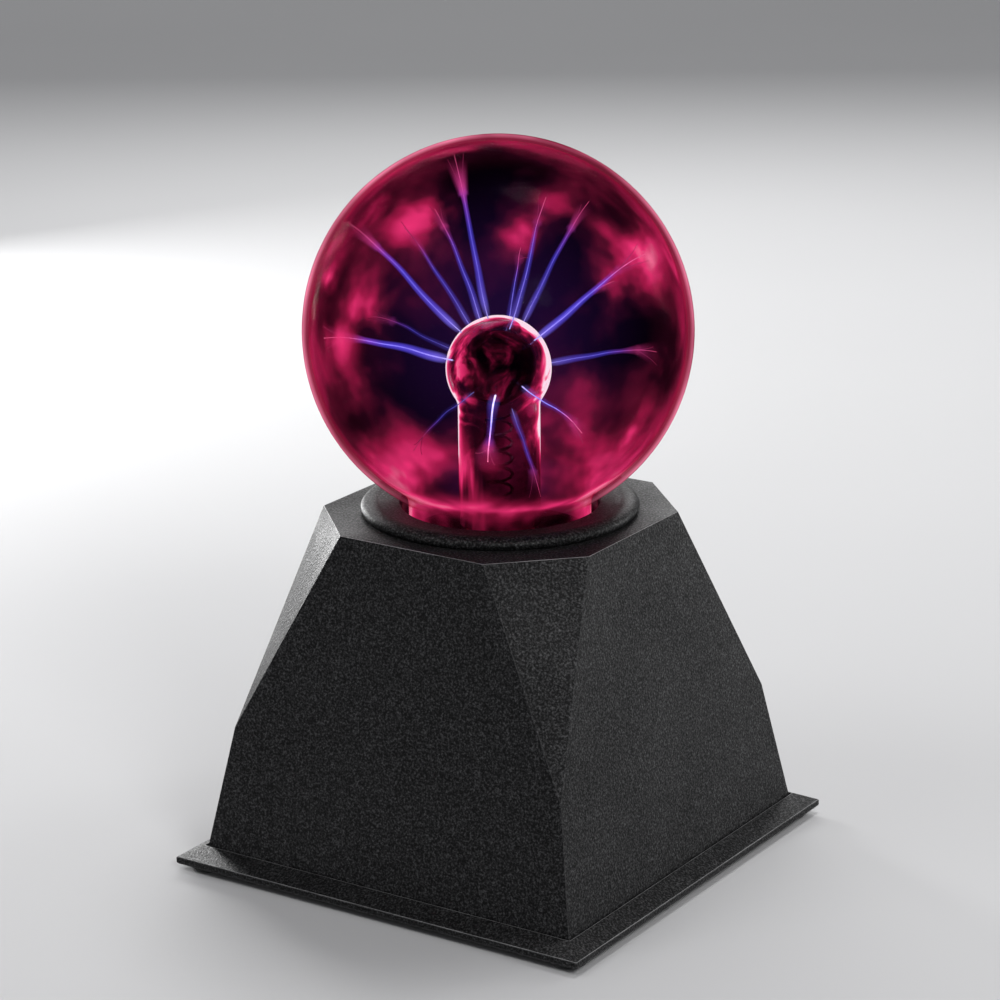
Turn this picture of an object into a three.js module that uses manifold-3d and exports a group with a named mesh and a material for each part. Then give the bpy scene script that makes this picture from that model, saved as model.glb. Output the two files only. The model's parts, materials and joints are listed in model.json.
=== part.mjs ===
// Plasma ball on a tall faceted base. A glass globe with a central electrode stands in a collar on
// a hollow plastic base, which holds the high-voltage driver, the supply socket, the mode switch and
// the microphone that lets the discharge follow sound.
// Millimetres, +Z up. The origin is on the table under the middle of the base. -Y is the front of
// the base and +Y the rear, where the switch, microphone and supply socket are.

import * as THREE from 'three';
import { ConvexGeometry } from 'three/addons/geometries/ConvexGeometry.js';
import { mergeVertices } from 'three/addons/utils/BufferGeometryUtils.js';
import Module from 'manifold-3d';

const wasm = await Module();
wasm.setup();

// ---- Driving dimensions --------------------------------------------------------------------

const GAP = 0.3; // between pieces that rest on each other
const GLOBE_R = 75; // outside of the glass globe
const GLOBE_WALL = 2.4;
const GLOBE_RISE = 71.2; // globe centre above the top face of the base
const NECK_R = 38; // outside of the globe's neck
const NECK_DEPTH = 14; // how far the neck reaches below the top face
const NECK_FILLET = 5;
const BULB_R = 20; // electrode bulb, outside
const BULB_DROP = 14.8; // bulb centre below globe centre
const TUBE_R = 15.5; // electrode tube, outside
const TUBE_WALL = 1.6;

const FOOT_R = 7.5;
const FOOT_AT = 83.5; // foot centres, from the middle in X and in Y
const PLATE_BOTTOM = 2.5; // how far the feet lift the plate
const PLATE_HALF = 92.7; // half the width of the square base plate
const PLATE_EDGE = 3.5; // height of the plate's upright edge
const PLATE_FLOOR = 3; // thickness of the plate inside the housing
const LIP_WIDTH = 8.1; // sloping lip around the housing
const LIP_SLOPE = 0.5; // lip's rise for each millimetre of width

const BODY_Z = 10.7; // height at which BODY_HALF is measured
const BODY_HALF = 83.4;
const SIDE_TAPER = 0.175; // how much a side leans in for each millimetre of height
const TOP_Z = 139.3; // top face of the base
const TOP_FLAT = 32.5; // half the length of the octagon's four long sides
const APEX_Z = 57.7; // where the triangular corner facets come to a point
const BODY_WALL = 2.8;
const TOP_WALL = 3;

const OPENING_R = 43.6; // round opening in the top face
const COLLAR_R = 54.2; // widest part of the collar's bead
const COLLAR_CREST = 4.7; // bead height above the top face

const SCREW_AT = 70; // base screws, from the middle in X and in Y
const BOARD = { width: 112, depth: 82, thick: 1.6, y: -5, z: 14.3 };
const BOARD_HOLE = { x: 50, y: 35 }; // board screws, from the board's middle

const PANEL_Z = 27; // height of the switch, microphone and socket on the rear wall
const SWITCH_X = -28; // seen from the rear, right is +
const JACK_X = 24;
const SWITCH_STEP = 3; // travel from the middle position to each end
const KNOB = { width: 5.4, height: 4.6, out: 3, clearance: 0.4 };
const SLOT = {
  width: KNOB.width + 2 * SWITCH_STEP + 2 * KNOB.clearance,
  height: KNOB.height + 2 * GAP,
};

const CORNERS = [
  [-1, -1, 'front_left'],
  [1, -1, 'front_right'],
  [-1, 1, 'rear_left'],
  [1, 1, 'rear_right'],
];

// ---- Geometry helpers ----------------------------------------------------------------------

const { Vector2, Vector3 } = THREE;

/** Merges shared corners and drops the empty triangles that a pole or a seam leaves behind. */
function closed(geometry) {
  const bare = geometry.clone();
  bare.deleteAttribute('normal');
  bare.deleteAttribute('uv');
  const merged = mergeVertices(bare, 1e-4);
  const corners = merged.index.array;
  const kept = [];
  for (let i = 0; i < corners.length; i += 3) {
    const [a, b, c] = corners.slice(i, i + 3);
    if (a !== b && b !== c && c !== a) kept.push(a, b, c);
  }
  merged.setIndex(kept);
  return merged;
}

function toSolid(geometry) {
  const mesh = closed(geometry);
  return new wasm.Manifold(new wasm.Mesh({
    numProp: 3,
    vertProperties: new Float32Array(mesh.attributes.position.array),
    triVerts: new Uint32Array(mesh.index.array),
  }));
}

function toGeometry(solid) {
  const mesh = solid.getMesh();
  const geometry = new THREE.BufferGeometry();
  geometry.setAttribute('position', new THREE.BufferAttribute(mesh.vertProperties, 3));
  geometry.setIndex(new THREE.BufferAttribute(mesh.triVerts, 1));
  geometry.computeVertexNormals();
  return geometry;
}

/** The first shape with every shape in `added` joined on and then every shape in `removed` cut out. */
function carve(first, added, removed = []) {
  let solid = toSolid(first);
  for (const piece of added) solid = solid.add(toSolid(piece));
  for (const piece of removed) solid = solid.subtract(toSolid(piece));
  return toGeometry(solid);
}

/** A box centred on x and y that stands on z. */
function block(width, depth, height, x = 0, y = 0, z = 0) {
  return new THREE.BoxGeometry(width, depth, height).translate(x, y, z + height / 2);
}

/** An upright round bar that stands on z. */
function rod(radius, height, x = 0, y = 0, z = 0, sides = 12) {
  const bar = new THREE.CylinderGeometry(radius, radius, height, sides).rotateX(Math.PI / 2);
  return bar.translate(x, y, z + height / 2);
}

/** A solid of revolution about Z from [radius, height] pairs that run down the outside. */
function turned(profile, sides) {
  const points = profile.map(([r, z]) => new Vector2(r, z)).reverse();
  return closed(new THREE.LatheGeometry(points, sides).rotateX(Math.PI / 2));
}

/** Points on an ellipse in a lathe profile, with angles in degrees measured up from outward. */
function arc(r, z, radius, from, to, steps, radiusZ = radius) {
  return Array.from({ length: steps + 1 }, (_, i) => {
    const angle = THREE.MathUtils.degToRad(from + (to - from) * i / steps);
    return [r + radius * Math.cos(angle), z + radiusZ * Math.sin(angle)];
  });
}

/** The [x, y] of a point on a circle around the axis. */
function onCircle(radius, degrees) {
  const angle = THREE.MathUtils.degToRad(degrees);
  return [radius * Math.cos(angle), radius * Math.sin(angle)];
}

/** A round wire that follows a curve. A full circle takes two points for each curve segment. */
function wire(curve, radius, steps, sides = 6) {
  const section = new THREE.Shape();
  section.absarc(0, 0, radius, 0, 2 * Math.PI);
  const options = { steps, extrudePath: curve, curveSegments: sides / 2, bevelEnabled: false };
  return closed(new THREE.ExtrudeGeometry(section, options));
}

/** A smooth curve through a list of [x, y, z] points. */
function through(points) {
  return new THREE.CatmullRomCurve3(points.map(([x, y, z]) => new Vector3(x, y, z)));
}

function material(color, roughness, metalness = 0) {
  return new THREE.MeshStandardMaterial({ color, roughness, metalness });
}

/** Adds a named mesh with its own material to a group. */
function place(group, name, geometry, look, x = 0, y = 0, z = 0) {
  const mesh = new THREE.Mesh(geometry, material(...look));
  mesh.name = name;
  mesh.position.set(x, y, z);
  group.add(mesh);
  return mesh;
}

const BLACK_PLASTIC = [0x232326, 0.62];
const SATIN_BLACK = [0x1c1c1f, 0.5];
const RUBBER = [0x1a1a1a, 0.9];
const GLASS = [0xd8dee6, 0.04];
const STEEL = [0xb8bcc0, 0.3, 1];
const TINNED = [0xc9ccd0, 0.28, 1];
const COPPER = [0xb5683a, 0.35, 1];
const BRASS = [0xc9a652, 0.3, 1];
const FERRITE = [0x3a3b3f, 0.7];
const CHIP_BLACK = [0x202124, 0.55];

// ---- Base housing --------------------------------------------------------------------------

/** The faceted form of the base: a tapering square block with a triangle taken off each corner. */
function facetedForm(inset, bottom, top) {
  const topHalf = BODY_HALF - SIDE_TAPER * (TOP_Z - BODY_Z);
  const apexHalf = BODY_HALF - SIDE_TAPER * (APEX_Z - BODY_Z);
  const cornerTaper = (2 * apexHalf - topHalf - TOP_FLAT) / (TOP_Z - APEX_Z);
  const half = (z) => BODY_HALF - SIDE_TAPER * (z - BODY_Z) - inset * Math.hypot(1, SIDE_TAPER);
  const cornerInset = inset * Math.hypot(Math.SQRT2, cornerTaper);
  const cornerSum = (z) => 2 * apexHalf - cornerTaper * (z - APEX_Z) - cornerInset;
  const apex = bottom + (cornerSum(bottom) - 2 * half(bottom)) / (cornerTaper - 2 * SIDE_TAPER);
  const points = [];
  for (const [sx, sy] of CORNERS) {
    const narrow = cornerSum(top) - half(top);
    points.push(new Vector3(sx * half(bottom), sy * half(bottom), bottom));
    points.push(new Vector3(sx * half(apex), sy * half(apex), apex));
    points.push(new Vector3(sx * half(top), sy * narrow, top));
    points.push(new Vector3(sx * narrow, sy * half(top), top));
  }
  return new ConvexGeometry(points);
}

const FLOOR_Z = PLATE_BOTTOM + PLATE_FLOOR;
const PAD_TOP = FLOOR_Z + 3; // screw pads on the base plate
const FOOT_POCKET = 0.8; // how deep the feet sit in the plate
const HEAD_ROOM_R = 3.7; // counterbore for a base screw's head
const HEAD_DEPTH = 3.2;
const CUP_SCREW_AT = 50; // distance of the cup's screws from the axis
const CUP_BOSS = 6; // length of the bosses under the top face
const CUP_ANGLES = [[90, 'rear'], [210, 'left'], [330, 'right']];

/** The frame of the rear wall: x to the right seen from behind, y up the wall, z straight out. */
function rearFrame() {
  const lean = Math.atan(SIDE_TAPER);
  const right = new Vector3(-1, 0, 0);
  const up = new Vector3(0, -Math.sin(lean), Math.cos(lean));
  const out = new Vector3(0, Math.cos(lean), Math.sin(lean));
  const wallY = BODY_HALF - SIDE_TAPER * (PANEL_Z - BODY_Z);
  return new THREE.Matrix4().makeBasis(right, up, out).setPosition(0, wallY, PANEL_Z);
}

const REAR = rearFrame();
const SWITCH_SCREW_X = 13; // switch screws, from the middle of the slot
const MIC_BOOT_R = 6.4;
const MIC_SOCKET = 6; // depth of the microphone's socket behind the wall
const JACK_HOLE_R = 4.5;

/** Openings and pockets in the rear wall, in the frame of that wall. */
function rearCuts() {
  const wallBack = -BODY_WALL - 1;
  const cutLength = BODY_WALL + 2;
  const dish = { margin: 5, depth: 0.8 }; // shallow pocket that leaves room for a fingertip
  const cuts = [
    block(SLOT.width, SLOT.height, cutLength, SWITCH_X, 0, wallBack),
    block(SLOT.width + dish.margin, SLOT.height + dish.margin, 2, SWITCH_X, 0, -dish.depth),
    rod(JACK_HOLE_R + GAP, cutLength, JACK_X, 0, wallBack, 24),
  ];
  for (const side of [-1, 1]) {
    cuts.push(rod(1.7, cutLength, SWITCH_X + side * SWITCH_SCREW_X, 0, wallBack));
  }
  const soundHole = { radius: 0.8, ring: 2.8, count: 6 };
  cuts.push(rod(soundHole.radius, cutLength, 0, 0, wallBack, 8));
  for (let i = 0; i < soundHole.count; i += 1) {
    const angle = 2 * Math.PI * i / soundHole.count;
    const x = soundHole.ring * Math.cos(angle);
    const y = soundHole.ring * Math.sin(angle);
    cuts.push(rod(soundHole.radius, cutLength, x, y, wallBack, 8));
  }
  return cuts.map((cut) => cut.applyMatrix4(REAR));
}

/** One upright rod at each of the three places where the cup is screwed on. */
function cupRods(radius, height, z) {
  return CUP_ANGLES.map(([degrees]) => {
    const [x, y] = onCircle(CUP_SCREW_AT, degrees);
    return rod(radius, height, x, y, z);
  });
}

function housing() {
  const bottom = FLOOR_Z + GAP;
  const outer = facetedForm(0, bottom, TOP_Z);
  const hollow = facetedForm(BODY_WALL, bottom - 1, TOP_Z - TOP_WALL);
  const opening = rod(OPENING_R, 2 * TOP_WALL, 0, 0, TOP_Z - 1.5 * TOP_WALL, 40);
  const shell = carve(outer, [], [hollow, opening]);

  const post = { radius: 4.2, height: 52, pilotR: 1.8, pilotDepth: 16 };
  const posts = CORNERS.map(([sx, sy]) => {
    return rod(post.radius, post.height, sx * SCREW_AT, sy * SCREW_AT, PAD_TOP + GAP);
  });
  const pilots = CORNERS.map(([sx, sy]) => {
    return rod(post.pilotR, post.pilotDepth, sx * SCREW_AT, sy * SCREW_AT, PAD_TOP);
  });

  const bossZ = TOP_Z - TOP_WALL - CUP_BOSS;
  const bosses = cupRods(3.4, CUP_BOSS + 1, bossZ);
  const bossPilots = cupRods(1.6, CUP_BOSS, bossZ - 1);

  const socketZ = -BODY_WALL - MIC_SOCKET;
  const socket = rod(MIC_BOOT_R + 2, MIC_SOCKET + 0.5, 0, 0, socketZ, 24).applyMatrix4(REAR);
  const bootRoom = rod(MIC_BOOT_R + GAP, MIC_SOCKET + 2, 0, 0, socketZ - 2, 24).applyMatrix4(REAR);
  const removed = [...pilots, ...bossPilots, bootRoom, ...rearCuts()];
  return carve(shell, [...posts, ...bosses, socket], removed);
}

// ---- Base plate, feet and screws -----------------------------------------------------------

function plate() {
  const chamfer = 0.8;
  const edgeTop = PLATE_BOTTOM + PLATE_EDGE;
  const rings = [
    [PLATE_HALF - chamfer, PLATE_BOTTOM],
    [PLATE_HALF, PLATE_BOTTOM + chamfer],
    [PLATE_HALF, edgeTop - chamfer / 2],
    [PLATE_HALF - chamfer, edgeTop],
    [PLATE_HALF - LIP_WIDTH, edgeTop + LIP_SLOPE * (LIP_WIDTH - chamfer)],
  ];
  const points = rings.flatMap(([half, z]) => {
    return CORNERS.map(([sx, sy]) => new Vector3(sx * half, sy * half, z));
  });
  const pocket = 2 * (PLATE_HALF - LIP_WIDTH);
  const tray = carve(new ConvexGeometry(points), [], [block(pocket, pocket, 20, 0, 0, FLOOR_Z)]);
  const below = PLATE_BOTTOM - 1; // cuts from underneath start here
  const pad = { radius: 6.5, hole: 1.9, headRoom: HEAD_ROOM_R };
  const standoff = { radius: 3.6, pilotR: 1.5, pilotDepth: 8 };
  const vent = { count: 7, pitch: 9, width: 3, length: 26, y: 33 };
  const added = [];
  const removed = [];
  for (const [sx, sy] of CORNERS) {
    const [screwX, screwY] = [sx * SCREW_AT, sy * SCREW_AT];
    const [boardX, boardY] = [sx * BOARD_HOLE.x, BOARD.y + sy * BOARD_HOLE.y];
    added.push(rod(pad.radius, PAD_TOP - FLOOR_Z + 1, screwX, screwY, FLOOR_Z - 1, 16));
    removed.push(rod(pad.hole, 12, screwX, screwY, below));
    removed.push(rod(pad.headRoom, HEAD_DEPTH + 1, screwX, screwY, below, 16));
    removed.push(rod(FOOT_R + GAP, FOOT_POCKET + 1, sx * FOOT_AT, sy * FOOT_AT, below, 20));
    added.push(rod(standoff.radius, BOARD.z - GAP - FLOOR_Z + 1, boardX, boardY, FLOOR_Z - 1));
    removed.push(rod(standoff.pilotR, standoff.pilotDepth, boardX, boardY, BOARD.z - standoff.pilotDepth));
  }
  for (let i = 0; i < vent.count; i += 1) {
    const x = (i - (vent.count - 1) / 2) * vent.pitch;
    for (const side of [-1, 1]) {
      removed.push(block(vent.width, vent.length, 8, x, side * vent.y, below));
    }
  }
  return carve(tray, added, removed);
}

/** Rubber foot: a disc with a rounded lower edge. */
function foot() {
  const top = PLATE_BOTTOM + FOOT_POCKET - GAP;
  const round = 2.4;
  const edge = arc(FOOT_R - round, round, round, 0, -90, 3);
  return turned([[0, top], [FOOT_R, top], ...edge, [0, 0]], 20);
}

const BASE_SCREW = { headR: 3.3, head: 2.2, shankR: 1.5 };
const SMALL_SCREW = { headR: 2.7, head: 1.7, shankR: 1.2 };

/** A cross-head screw that points up. The flat underside of its head is at z = 0. */
function screw({ headR, head, shankR }, length) {
  const round = 0.8;
  const body = turned([
    [0, length], [shankR, length - 2 * shankR], [shankR, 0],
    [headR, 0], [headR, round - head], [headR - round, -head], [0, -head],
  ], 10);
  const slot = { length: 1.1 * headR, width: 0.25 * headR, depth: head / 2 };
  const cross = [
    block(slot.length, slot.width, slot.depth + 1, 0, 0, -head - 1),
    block(slot.width, slot.length, slot.depth + 1, 0, 0, -head - 1),
  ];
  return carve(body, [], cross);
}

/** The same screw, pointing down. */
function screwDown(size, length) {
  return screw(size, length).rotateX(Math.PI);
}

// ---- Globe, electrode and collar, measured from the top face --------------------------------

/** One skin of the globe from its crown down to the bottom of its neck, drawn in by `inset`. */
function globeSkin(inset, steps) {
  const filletR = NECK_R + NECK_FILLET;
  const reach = GLOBE_R + NECK_FILLET;
  const filletZ = GLOBE_RISE - Math.sqrt(reach ** 2 - filletR ** 2);
  const meet = THREE.MathUtils.radToDeg(Math.acos(filletR / reach));
  const footR = 4;
  return [
    ...arc(0, GLOBE_RISE, GLOBE_R - inset, 90, -meet, steps),
    ...arc(filletR, filletZ, NECK_FILLET + inset, 180 - meet, 180, 2).slice(1),
    ...arc(NECK_R - footR, footR - NECK_DEPTH, footR - inset, 0, -90, 2),
  ];
}

const SEAL_R = TUBE_R + 2.5; // hole in the neck's floor, where the electrode tube is sealed in
const TIP_AT = 27; // exhaust tip, from the axis

function globe() {
  const outer = [[0, GLOBE_RISE + GLOBE_R], ...globeSkin(0, 12).slice(1)];
  const inner = [[0, GLOBE_RISE + GLOBE_R - GLOBE_WALL], ...globeSkin(GLOBE_WALL, 12).slice(1)];
  const profile = [...outer, [SEAL_R, -NECK_DEPTH], [SEAL_R, GLOBE_WALL - NECK_DEPTH], ...inner.reverse()];
  const tip = turned([[0, 2], [3, 2], [3, -1.5], [1.7, -4], [0.8, -6.5], [0, -7]], 8);
  return carve(turned(profile, 32), [tip.translate(TIP_AT, 0, -NECK_DEPTH)]);
}

/** One skin of the electrode from the bulb's crown down to the open end of its tube. */
function electrodeSkin(inset) {
  const fillet = 8;
  const filletR = TUBE_R + fillet;
  const reach = BULB_R + fillet;
  const bulbZ = GLOBE_RISE - BULB_DROP;
  const filletZ = bulbZ - Math.sqrt(reach ** 2 - filletR ** 2);
  const meet = THREE.MathUtils.radToDeg(Math.acos(filletR / reach));
  const flare = SEAL_R - GAP - TUBE_R;
  return [
    [0, bulbZ + BULB_R - inset],
    ...arc(0, bulbZ, BULB_R - inset, 90, -meet, 7).slice(1),
    ...arc(filletR, filletZ, fillet + inset, 180 - meet, 180, 2).slice(1),
    ...arc(TUBE_R + flare, 6 - NECK_DEPTH, flare + inset, 180, 250, 2, 6),
    [SEAL_R - GAP - inset * 0.6, -NECK_DEPTH],
  ];
}

function electrodeTube() {
  return turned([...electrodeSkin(0), ...electrodeSkin(TUBE_WALL).reverse()], 20);
}

/** A lumpy ball of conductive wool that fills the electrode bulb. */
function electrodeCore() {
  const ball = closed(new THREE.IcosahedronGeometry(14.5, 2));
  const position = ball.attributes.position;
  const point = new Vector3();
  for (let i = 0; i < position.count; i += 1) {
    point.fromBufferAttribute(position, i);
    const wave = Math.sin(point.x * 0.9) * Math.cos(point.y * 0.8) + Math.sin(point.z * 1.1 + point.x * 0.4);
    point.multiplyScalar(1 + 0.035 * wave);
    position.setXYZ(i, point.x, point.y, point.z);
  }
  return ball;
}

class Helix extends THREE.Curve {
  constructor(radius, pitch, turns, z) {
    super();
    Object.assign(this, { radius, pitch, turns, z });
  }

  getPoint(t) {
    const angle = 2 * Math.PI * this.turns * t;
    const z = this.z + this.pitch * this.turns * t;
    return new Vector3(this.radius * Math.cos(angle), this.radius * Math.sin(angle), z);
  }
}

const SPRING_BOTTOM = 1;
const SPRING_TOP = GLOBE_RISE - BULB_DROP - 18;

function electrodeSpring() {
  const turns = 6;
  const pitch = (SPRING_TOP - SPRING_BOTTOM) / turns;
  return wire(new Helix(5, pitch, turns, SPRING_BOTTOM), 0.7, turns * 10, 4);
}

const PLUG_BORE = 2.5;

/** Rubber plug in the open end of the electrode tube, bored for the high-voltage lead. */
function tubePlug() {
  const bodyR = TUBE_R - TUBE_WALL - GAP;
  const profile = [
    [PLUG_BORE, -2], [bodyR - 1.5, -2], [bodyR, -3.5], [bodyR, -NECK_DEPTH - GAP],
    [SEAL_R, -NECK_DEPTH - GAP], [SEAL_R, -NECK_DEPTH - 3], [8, -NECK_DEPTH - 4],
    [6, -NECK_DEPTH - 9], [PLUG_BORE, -NECK_DEPTH - 9], [PLUG_BORE, -2],
  ];
  return turned(profile, 16);
}

function collar() {
  const skirtOuter = OPENING_R - GAP;
  const skirtInner = skirtOuter - 2;
  const skirtBottom = -9;
  const ledge = 1.3; // underside of the part that reaches in to the neck
  const beadR = 4.4;
  const beadHeight = 2.8;
  const profile = [
    [skirtInner, ledge], [NECK_R + 1, ledge], [NECK_R + 0.7, 2.9], [NECK_R + 1.1, 3.5],
    ...arc(COLLAR_R - beadR, COLLAR_CREST - beadHeight, beadR, 130, -35, 7, beadHeight),
    [COLLAR_R - 2, GAP], [skirtOuter, GAP], [skirtOuter, skirtBottom], [skirtInner, skirtBottom],
    [skirtInner, ledge],
  ];
  return turned(profile, 40);
}

/** Foam sealing ring between the globe's neck and the collar's skirt. */
function neckGasket() {
  const inner = NECK_R + GAP;
  const outer = OPENING_R - 2 - 2 * GAP;
  return turned([[inner, 1], [outer, 1], [outer, -8], [inner, -8], [inner, 1]], 32);
}

const FLANGE_TOP = -TOP_WALL - CUP_BOSS - GAP;
const FLANGE_THICK = 2.5;

/** Cup that carries the globe's neck, hung from three bosses under the top face. */
function neckCup() {
  const wallInner = OPENING_R + GAP;
  const wallOuter = wallInner + 2;
  const flangeR = CUP_SCREW_AT + 4;
  const floorTop = -NECK_DEPTH - GAP;
  const floorBottom = floorTop - FLANGE_THICK;
  const profile = [
    [wallInner, FLANGE_TOP], [flangeR, FLANGE_TOP], [flangeR, FLANGE_TOP - FLANGE_THICK],
    [wallOuter, FLANGE_TOP - FLANGE_THICK], [wallOuter, floorBottom], [SEAL_R + 1, floorBottom],
    [SEAL_R + 1, floorTop], [wallInner, floorTop], [wallInner, FLANGE_TOP],
  ];
  const holes = cupRods(1.8, 6, FLANGE_TOP - FLANGE_THICK - 1);
  const tipHole = rod(4.5, 8, TIP_AT, 0, floorBottom - 1);
  return carve(turned(profile, 32), [], [...holes, tipHole]);
}

// ---- Driver board ----------------------------------------------------------------------------

const BOARD_TOP = BOARD.z + BOARD.thick;
const PART_Z = BOARD_TOP + GAP; // where parts stand on the board

function circuitBoard() {
  const holes = CORNERS.map(([sx, sy]) => {
    return rod(1.7, 6, sx * BOARD_HOLE.x, BOARD.y + sy * BOARD_HOLE.y, BOARD.z - 2, 12);
  });
  return carve(block(BOARD.width, BOARD.depth, BOARD.thick, 0, BOARD.y, BOARD.z), [], holes);
}

const CORE = { leg: 9, spacing: 27, height: 40, y: -14, x: -24 };

/** One U-shaped half of the ferrite core, standing on its back. */
function coreHalf() {
  const { leg, spacing, height } = CORE;
  const legHeight = height / 2 - GAP / 2;
  const legs = [-1, 1].map((side) => block(leg, leg, legHeight, side * spacing / 2));
  return carve(block(spacing + leg, leg, leg - 1), legs);
}

/** A wound bobbin with flanges around one leg of the core. */
function bobbin(outer, waist, height, ribs) {
  const bore = CORE.leg * Math.SQRT1_2 + GAP;
  const flange = 1.4;
  const top = height / 2;
  const profile = [[bore, top], [outer, top], [outer, top - flange]];
  const pitch = (height - 2 * flange) / ribs;
  for (let i = 0; i < ribs; i += 1) {
    const z = top - flange - i * pitch;
    const rib = outer - 0.5;
    profile.push([waist, z - 0.2], [waist, z - pitch + 0.8], [rib, z - pitch + 0.6], [rib, z - pitch]);
  }
  profile.push([outer, -top + flange], [outer, -top], [bore, -top], [bore, top]);
  return turned(profile.filter(([r, z], i) => {
    return i === 0 || r !== profile[i - 1][0] || z !== profile[i - 1][1];
  }), 14);
}

const PIN_PITCH = 2.54;
const SINK = { x: 34, y: -20, width: 33, thick: 2.4, height: 28 };
const TAB_HOLE_Z = 19; // screw that holds the transistor to the heat sink

/** A hole through a thin upright plate, along Y. */
function tabHole(radius) {
  return rod(radius, 4, 0, 0, -2, 12).rotateX(Math.PI / 2).translate(0, 0, TAB_HOLE_Z);
}

/** Power transistor: a moulded body on a metal tab, standing on three legs. */
function transistor() {
  const body = { width: 10, depth: 4.2, height: 9, z: 7 };
  const tabHeight = 15;
  const legs = [-PIN_PITCH, 0, PIN_PITCH].map((x) => block(0.8, 0.5, 8, x, -1.5, 0));
  const tab = carve(block(body.width, 1.3, tabHeight, 0, 0, body.z), [], [tabHole(1.9)]);
  return carve(tab, [block(body.width, body.depth, body.height, 0, -1.8, body.z), ...legs]);
}

function heatSink() {
  const fin = { count: 6, pitch: 6, thick: 1.4, length: 10 };
  const fins = [];
  for (let i = 0; i < fin.count; i += 1) {
    const x = (i - (fin.count - 1) / 2) * fin.pitch;
    fins.push(block(fin.thick, fin.length, SINK.height, x, 6, 0));
  }
  return carve(block(SINK.width, SINK.thick, SINK.height), fins, [tabHole(1.5)]);
}

/** A can capacitor with its rolled groove near the bottom. */
function canCapacitor(radius, height, sides = 14) {
  const groove = height * 0.12;
  return turned([
    [0, height - 0.3], [radius * 0.8, height - 0.3], [radius * 0.86, height], [radius, height - 0.6],
    [radius, groove + 1], [radius - 0.5, groove], [radius, groove - 1], [radius, 0.3],
    [radius - 0.3, 0], [0, 0],
  ], sides);
}

function filmCapacitor() {
  const outline = new THREE.Shape();
  outline.absellipse(0, 0, 8, 3.6, 0, 2 * Math.PI);
  const options = { depth: 9, curveSegments: 10, bevelSize: 0.8, bevelThickness: 0.8, bevelSegments: 1 };
  return new THREE.ExtrudeGeometry(outline, options).translate(0, 0, 0.8);
}

function chip() {
  const pins = [];
  const pinsPerSide = 4;
  for (let i = 0; i < pinsPerSide; i += 1) {
    for (const side of [-1, 1]) {
      const x = (i - (pinsPerSide - 1) / 2) * PIN_PITCH;
      pins.push(block(0.9, 1, 2.6, x, side * 3.6, 0));
    }
  }
  const notch = rod(0.9, 1, -4.7, 0, 4, 12);
  return carve(block(9.8, 6.6, 3.4, 0, 0, 1), pins, [notch]);
}

/** A leaded resistor lying along X with its leads bent down to the board. */
function resistor() {
  const body = turned([
    [0, 3.3], [1.1, 3.2], [1.5, 2.6], [1.5, 2.0], [1.2, 1.4], [1.2, -1.4], [1.5, -2.0], [1.5, -2.6],
    [1.1, -3.2], [0, -3.3],
  ], 8).rotateY(Math.PI / 2);
  const bend = [[5, 0, 0], [6, 0, -0.8], [6, 0, -2.2]];
  const mirrored = bend.map(([x, y, z]) => [-x, y, z]).reverse();
  const lead = wire(through([...mirrored, ...bend]), 0.35, 12, 4);
  return carve(body, [lead]);
}

// ---- Rear panel parts, in the frame of the rear wall ------------------------------------------

const CAN = { width: 20, height: 9, depth: 8 };
const CAN_FRONT = -BODY_WALL - GAP;
const CAN_WALL = 0.7;
const CARRIAGE = { width: 10, thick: 1.8 }; // part of the slider that runs inside the can
const TERMINAL = { pitch: 5, length: 5, out: 3.5 };
const JACK = { depth: 12, boreDepth: 10, lugX: 2.6, lugEnd: 17 }; // depths behind the wall
const MIC = { radius: 4.6, depth: 5.5 };

/** Metal can of the slide switch with two ears for its screws. */
function switchCan() {
  const ears = block(2 * SWITCH_SCREW_X + 7, CAN.height, CAN_WALL, 0, 0, CAN_FRONT - CAN_WALL);
  const box = block(CAN.width, CAN.height, CAN.depth, 0, 0, CAN_FRONT - CAN.depth);
  const inside = block(CAN.width - 2 * CAN_WALL, CAN.height - 2 * CAN_WALL, CAN.depth, 0, 0,
    CAN_FRONT - CAN.depth - CAN_WALL);
  const opening = block(SLOT.width, SLOT.height, 4, 0, 0, CAN_FRONT - 2);
  const holes = [-1, 1].map((side) => rod(1.6, 4, side * SWITCH_SCREW_X, 0, CAN_FRONT - 2, 12));
  return carve(box, [ears], [inside, opening, ...holes]);
}

function switchTerminals() {
  const width = CAN.width - 2 * CAN_WALL - 2 * GAP;
  const height = CAN.height - 2 * CAN_WALL - 2 * GAP;
  const back = CAN_FRONT - CAN.depth;
  const pins = [-1, 0, 1].map((i) => {
    return block(1.6, 0.6, TERMINAL.length, i * TERMINAL.pitch, 0, back - TERMINAL.out);
  });
  return carve(block(width, height, 1.4, 0, 0, back), pins);
}

/** Sliding knob: a ribbed finger piece in front of a carriage that runs inside the can. */
function modeSlider() {
  const carriageFront = CAN_FRONT - CAN_WALL - GAP;
  const carriageBack = carriageFront - CARRIAGE.thick;
  const carriageHeight = CAN.height - 2 * CAN_WALL - 2 * GAP;
  const carriage = block(CARRIAGE.width, carriageHeight, CARRIAGE.thick, 0, 0, carriageBack);
  const stem = block(KNOB.width, KNOB.height, KNOB.out - carriageFront + 1, 0, 0, carriageFront - 1);
  const groove = { width: 0.6, pitch: 1.5, depth: 0.7 };
  const grooves = [-1, 0, 1].map((i) => {
    const x = i * groove.pitch;
    return block(groove.width, KNOB.height + 1, 2 * groove.depth, x, 0, KNOB.out - groove.depth);
  });
  return carve(carriage, [stem], grooves);
}

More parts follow.
